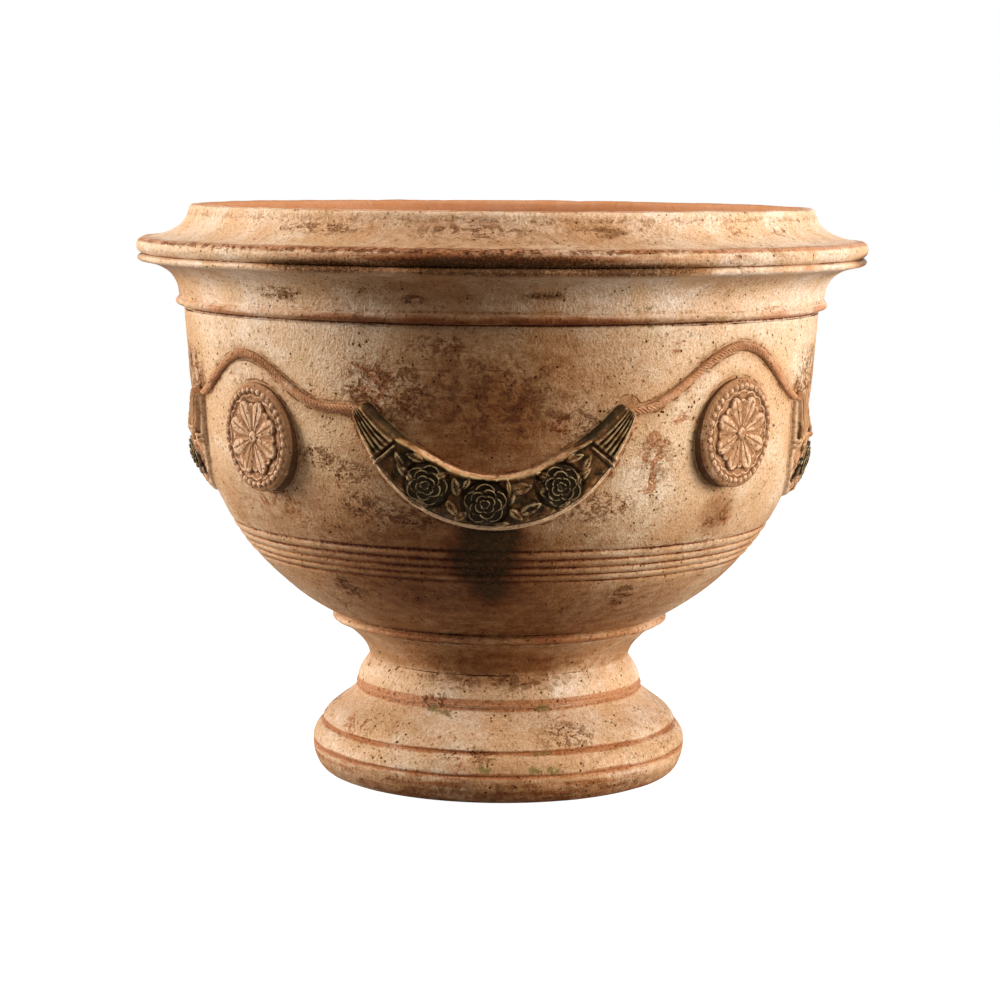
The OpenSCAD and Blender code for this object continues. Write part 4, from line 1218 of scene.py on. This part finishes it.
# The bowl: drain, spigot, stem, stem bead, wall with scored lines, and the inside back to the drain
def buildBowl():
    w = wall
    waist, bead, low, joint = w["waistLevel"], w["beadLevel"], w["lowLevel"], w["jointLevel"]
    floorLow = bowlBox[0][2]
    floorHigh = floorLow + w["floorThickness"]
    stemTop = w["lowRadius"] - 0.006
    stem = bend((w["waistRadius"], waist), (w["waistRadius"] + 0.0025, waist + w["stemHeight"] * 0.42),
                (w["waistRadius"] + 0.013, waist + w["stemHeight"] * 0.64), (stemTop, bead - 0.002), 22)
    beadArc = arc((w["lowRadius"] - 0.002, bead + w["stemBeadHeight"] / 2),
                  w["stemBeadOut"] + 0.002, w["stemBeadHeight"] / 2, -80, 75, 12)
    firstLine, lastLine = lineLevels()[0] - w["lineReach"], lineLevels()[-1] + w["lineReach"]
    smooth = np.linspace(low, joint, 96)
    smooth = smooth[(smooth < firstLine) | (smooth > lastLine)]
    lines = np.linspace(firstLine, lastLine, 58)
    z = np.unique(np.concatenate([smooth[1:-1], lines, [low + 0.0008, joint - 0.0002]]))
    outer = np.stack([bowlAt(z) - lineCut(z), z], axis=1)
    topLine = lineLevels()[-1] - w["lineReach"]
    innerLevels = np.linspace(joint - w["thickness"], low + 0.0015, 34)
    step = 0.0005
    rise = (bowlAt(innerLevels + step) - bowlAt(innerLevels)) / step
    tilt = np.sqrt(1 + rise ** 2)
    inwards = w["thickness"] / tilt
    inner = np.stack([bowlAt(innerLevels) - inwards, innerLevels + inwards * rise], axis=1)
    toFloor = bend(inner[-1], inner[-1] - np.array([0.013, 0.024]), (w["spigotRadius"] + 0.016, floorHigh),
                   (w["spigotRadius"] - 0.006, floorHigh), 10)
    courses = [
        (run((w["drainRadius"] + 0.0008, floorLow), (w["spigotRadius"], floorLow), 6), bareClay),
        ([(w["spigotRadius"], waist), (w["waistRadius"] - 0.002, waist)], bareClay),
        ([(w["waistRadius"] - 0.0002, waist + 0.0001), (w["waistRadius"], waist + 0.0004)], (1, 0, 0, 0)),
        (stem, (1, 0, 0.3, 0)),
        ([(stemTop - 0.001, bead)], (1, 0, 1.0, 0.4)),
        (beadArc, (1, 0.72, 0.9, 0.5)),
        (outer[z < topLine], (1, 0.05, 0.5, 0.65)),
        (outer[(z >= topLine) & (z <= lastLine)], (1, 0.05, 0.85, 0.5)),
        (outer[z > lastLine], (1, 0.3, 0.3, 0.3)),
        ([(w["bellyRadius"] - 0.0004, joint), (w["bellyRadius"] - w["thickness"], joint)], bareClay),
        (inner, bareClay), (toFloor, bareClay),
        (run((w["spigotRadius"] - 0.012, floorHigh), (w["drainRadius"] + 0.0015, floorHigh), 5), bareClay),
        ([(w["drainRadius"], floorHigh - 0.0012), (w["drainRadius"], floorLow + 0.0012)], bareClay),
    ]
    points, fields, angle, level = throwPiece(courses, w["columns"], 0.6)
    onOutside = fields["bare"] < 0.5
    gap = np.full(level.shape, 1.0)
    near = level > lineLevels()[-1] - 0.02
    gap[near] = ornamentGap(angle[near], level[near])
    fields["gap"] = np.where(onOutside, gap, 1.0)
    # A brown halo round every ornament, laid into the soak: partly stain, partly painted contact shade
    # where the wall meets the ornament
    halo = 0.75 * np.exp(-np.clip(gap, 0, 1) / 0.0035) * onOutside
    fields["soak"] = np.maximum(fields["soak"], halo)
    addThrown("bowl", points, fields, wallSlip)


foot = {
    "standRadius": 0.169,
    "wall": 0.022,
    "swell": footBox[1][0] - 0.169,
    "baseHeight": 0.028,
    "bandHeight": 0.018,
    "neckRingRadius": 0.144,
    "neckHeight": 0.03,
    "lineWidth": 0.0026,
    "lineDepth": 0.0015,
    "bandTurn": 62.0,
    "columns": 420,
}


# The foot: base, band, hollow, neck ring and neck, then its open inside
def buildFoot():
    f, waist, waistRadius = foot, wall["waistLevel"], wall["waistRadius"]
    baseRadius = f["standRadius"] + f["swell"]
    lineTop = f["baseHeight"] + f["lineWidth"]
    bandTop = lineTop + f["bandHeight"]
    bandRadius = baseRadius - f["swell"] * (1 - math.cos(math.radians(f["bandTurn"])))
    hollowLow = bandTop + f["lineWidth"]
    ring = waist - f["neckHeight"]
    guide = (ring - bandTop) / 3
    ringRadius, throat = f["neckRingRadius"], ring + 0.005
    base = arc((f["standRadius"], f["baseHeight"]), f["swell"], f["baseHeight"], -86, -5, 30)
    line = groove(baseRadius, f["baseHeight"] - 0.0004, f["lineWidth"], f["lineDepth"], 8)
    bandRise = f["bandHeight"] / math.sin(math.radians(f["bandTurn"]))
    band = arc((f["standRadius"], lineTop), f["swell"], bandRise, 5, f["bandTurn"], 18)
    ledge = [(bandRadius - 0.0012, bandTop + 0.0004), (bandRadius - f["lineDepth"], bandTop + 0.001),
             (bandRadius - f["lineDepth"], hollowLow - 0.0008), (bandRadius - 0.0008, hollowLow - 0.0002)]
    hollow = bend((bandRadius, hollowLow), (bandRadius - 0.003, hollowLow + guide),
                  (ringRadius + 0.005, ring - guide), (ringRadius - 0.0015, ring), 38)
    ringEdge = arc((ringRadius - 0.003, ring + 0.0025), 0.003, 0.0025, -60, 60, 8)
    neck = bend((ringRadius - 0.0015, throat), (ringRadius - 0.0015, throat + 0.009),
                (waistRadius + 0.006, waist - 0.009), (waistRadius, waist - 0.0001), 24)
    opening = wall["spigotRadius"] + 0.0003
    inside = bend((opening, throat), (opening, throat - 0.025),
                  (f["standRadius"] - f["wall"] + 0.003, f["baseHeight"] + f["bandHeight"]),
                  (f["standRadius"] - f["wall"], 0.0015), 26)
    courses = [
        (run((f["standRadius"] - f["wall"] + 0.0015, 0.0), (f["standRadius"] - 0.002, 0.0), 6), bareClay),
        (base, (1, 0.55, 0.3, 0.3)), (line, (1, 0.55, 0.0, 1.0)), (band, (1, 0.4, 0.2, 0.5)),
        (ledge, (1, 0.55, 0.0, 1.0)), (hollow[:-3], (1, 0.2, 0.1, 0.9)), (hollow[-3:], (1, 0.2, 0.35, 0.9)),
        (ringEdge, (1, 0.95, 0.2, 0.6)), (neck[:-1], (1, 0.1, 0.3, 0.4)),
        ([(waistRadius + 0.0001, waist - 0.0005), (waistRadius, waist - 0.0001)], (1, 0, 0, 0)),
        ([(waistRadius - 0.002, waist), (opening, waist), (opening, throat)], bareClay),
        (inside, bareClay),
    ]
    points, fields = throwPiece(courses, f["columns"], 1.0)[:2]
    addThrown("foot", points, fields, footSlip)


collar = {
    "radius": 0.32,
    "beadHeight": 0.012,
    "beadOut": 0.0035,
    "coveHeight": 0.034,
    "corniceRadius": collarBox[1][0],
    "lowLipHeight": 0.008,
    "highLipHeight": 0.016,
    "rimRadius": 0.3105,
    "rimThickness": 0.02,
    "lipOut": 0.008,
    "columns": 560,
}


# The collar: bead, cove, cornice with two lips, upper cove, rolled rim and the inside
def buildCollar():
    c, joint, top = collar, wall["jointLevel"], collarBox[1][2]
    cove = joint + c["beadHeight"]
    cornice = cove + c["coveHeight"]
    lipLine = cornice + c["lowLipHeight"]
    corniceTop = lipLine + c["highLipHeight"]
    rimHeight = top - corniceTop
    outer, rim = c["corniceRadius"], c["rimRadius"]
    innerRadius = wall["bellyRadius"] - wall["thickness"]
    rimInner = rim - c["rimThickness"]
    bead = arc((c["radius"] - 0.002, joint + 0.0075), c["beadOut"] + 0.002, 0.0045, -75, 60, 14)
    coveBend = bend((c["radius"], cove), (c["radius"] + 0.0015, cove + c["coveHeight"] * 0.53),
                    (c["radius"] + 0.009, cove + c["coveHeight"] * 0.85), (outer - 0.008, cornice), 32)
    lowLip = arc((outer - c["lipOut"], cornice + c["lowLipHeight"] / 2), c["lipOut"] - 0.0015,
                 c["lowLipHeight"] / 2, -70, 70, 12)
    cutRadius = outer - c["lipOut"]
    cut = [[cutRadius + 0.0008, lipLine - 0.0003], [cutRadius + 0.0006, lipLine + 0.0006]]
    highLip = arc((outer - c["lipOut"], corniceTop - c["highLipHeight"] / 2), c["lipOut"],
                  c["highLipHeight"] / 2, -72, 85, 24)
    upper = bend((outer - 0.01, corniceTop), (rim + 0.017, corniceTop + 0.0025),
                 (rim + 0.004, corniceTop + rimHeight * 0.4),
                 (rim + 0.001, corniceTop + rimHeight * 0.75), 36)
    roll = arc((rim - 0.005, top - 0.005), 0.005, 0.005, 0, 90, 10)
    rollIn = arc((rimInner + 0.005, top - 0.005), 0.005, 0.005, 95, 180, 8)
    hollowRadius = innerRadius + 0.014
    insideHigh = bend((rimInner, top - 0.005), (rimInner, corniceTop + 0.008), (hollowRadius, corniceTop),
                      (hollowRadius, lipLine), 12)
    insideLow = bend((hollowRadius, lipLine), (hollowRadius, cornice - 0.014), (innerRadius, cove + 0.014),
                     (innerRadius, joint + 0.0005), 12)
    belly = [(wall["bellyRadius"], joint + 0.0002), (wall["bellyRadius"] - 0.0006, joint + 0.0015),
             (wall["bellyRadius"] - 0.0002, joint + 0.0028)]
    courses = [
        (belly, (1, 0, 1.1, 0.9)), (bead, (1, 0.62, 0.6, 0.6)),
        ([(c["radius"] + 0.0002, cove - 0.0006)], (1, 0, 0.35, 0.1)), (coveBend, (1, 0.3, 0.35, 0.4)),
        (lowLip, (1, 0.4, 0.5, 0.5)), (cut, (1, 0, 1.0, 0.4)), (highLip, (1, 0.5, 0.6, 0.4)),
        (upper, (1, 0.2, 0.5, 0.5)), (roll[:-4], (1, 0.25, 0.3, 0.3)), (roll[-4:], (1, 1.1, 0, 0)),
        (rollIn, bareClay), (insideHigh, bareClay), (insideLow, bareClay),
        ([(innerRadius, joint), (wall["bellyRadius"] - 0.0004, joint)], bareClay),
    ]
    points, fields = throwPiece(courses, c["columns"], 1.0)[:2]
    addThrown("collar", points, fields, corniceSlip)


buildFoot()
buildBowl()
buildCollar()
for index, (sideName, sideAngle) in enumerate(sideAngles.items()):
    buildGarland(sideName, sideAngle, 2 + index)
    for k, placeName in enumerate(garland["rosePlaces"]):
        buildRose(sideName, sideAngle, placeName, 3 * index + k + 1)
print("garlands and roses pressed on")
for index, (cornerName, cornerAngle) in enumerate(cornerAngles.items()):
    buildMedallion(cornerName, cornerAngle, index)
    buildCord(cornerName, cornerAngle, index)
print("medallions and cords pressed on")

# Studio: pale floor, white background, a large lamp on each side and a weaker one overhead
studio = {
    "cameraDistance": 2.7466,
    "cameraHeight": 0.6178,
    "cameraPitch": 7.1885,
    "cameraTurn": 1.2,
    "cameraRoll": 0.45,
    "lens": 98.88,
    "floorTint": (0.4, 0.4, 0.4),
    "floorGlow": 0.94,
    "floorReach": 40.0,
    "sensorWidth": 36.0,
    "clipEnd": 50.0,
    "lampAim": (0.0, 0.0, 0.32),
    "ambient": 0.1,
    "lamps": [
        ("leftLamp", (-2.3, 0.02, 0.85), (1.0, 1.4), 11.3, 60.0),
        ("rightLamp", (2.2, -0.62, 0.8), (1.0, 1.4), 11.1, 60.0),
        ("topLamp", (0.0, -1.25, 2.35), (1.1, 1.1), 4.6, 60.0),
    ],
}


# World that is white to the camera, glossy and transmitted rays, and a soft grey to the rest
def wireWorld():
    bpy.context.scene.world = startTree(bpy.data.worlds.new("studioWorld"))
    camera, glossy, through = (addNode("LightPath", {}, "Is " + kind + " Ray")
                               for kind in ("Camera", "Glossy", "Transmission"))
    ambient, white = (addNode("Background", {"Color": (1.0, 1.0, 1.0), "Strength": strength})
                      for strength in (studio["ambient"], 1.0))
    mixed = addNode("MixShader", {0: larger(larger(camera, glossy), through), 1: ambient, 2: white})
    addNode("OutputWorld", {"Surface": mixed})


# Floor that shows nearly white to the camera and keeps the urn's shadow
def layFloor():
    material = startTree(bpy.data.materials.new("paleFloor"))
    matt = addNode("BsdfPrincipled", {"Base Color": studio["floorTint"], "Roughness": 0.9,
                                      "Specular IOR Level": 0.1})
    seen = addNode("LightPath", {}, "Is Camera Ray")
    glow = addNode("Emission", {"Strength": seen * studio["floorGlow"]})
    addNode("OutputMaterial", {"Surface": addNode("AddShader", {0: matt, 1: glow})})
    reach = studio["floorReach"]
    mesh = bpy.data.meshes.new("floor")
    mesh.from_pydata([(-reach, -reach, 0), (reach, -reach, 0), (reach, reach, 0), (-reach, reach, 0)], [],
                     [(0, 1, 2, 3)])
    mesh.materials.append(material)
    floor = bpy.data.objects.new("floor", mesh)
    bpy.context.scene.collection.objects.link(floor)


# Lamps: each is yawed and pitched so that it looks at the aim
def hangLamps():
    for name, place, size, power, spread in studio["lamps"]:
        lamp = bpy.data.lights.new(name, "AREA")
        lamp.shape = "RECTANGLE"
        lamp.spread = math.radians(spread)
        lamp.size, lamp.size_y = size
        lamp.energy = power
        holder = bpy.data.objects.new(name, lamp)
        holder.location = place
        aim = np.array(studio["lampAim"]) - np.array(place)
        yaw = math.atan2(aim[1], aim[0]) - math.pi / 2
        pitch = math.atan2(aim[2], math.hypot(aim[0], aim[1])) + math.pi / 2
        holder.rotation_euler = (pitch, 0, yaw)
        bpy.context.scene.collection.objects.link(holder)


# Camera: on a circle round the urn at the photograph's turn, then pitched and rolled
def setCamera():
    camera = bpy.data.cameras.new("camera")
    camera.lens = studio["lens"]
    camera.sensor_width = studio["sensorWidth"]
    camera.clip_end = studio["clipEnd"]
    holder = bpy.data.objects.new("camera", camera)
    turn = math.radians(studio["cameraTurn"])
    distance = studio["cameraDistance"]
    holder.location = (distance * math.sin(turn), -distance * math.cos(turn), studio["cameraHeight"])
    bpy.context.scene.collection.objects.link(holder)
    holder.matrix_world = (Matrix.Translation(holder.location) @ Matrix.Rotation(turn, 4, "Z")
                           @ Matrix.Rotation(math.radians(90 - studio["cameraPitch"]), 4, "X")
                           @ Matrix.Rotation(math.radians(studio["cameraRoll"]), 4, "Z"))
    bpy.context.scene.camera = holder


wireWorld()
layFloor()
hangLamps()
setCamera()
bpy.context.scene.view_settings.view_transform = "Standard"
print("studio set")
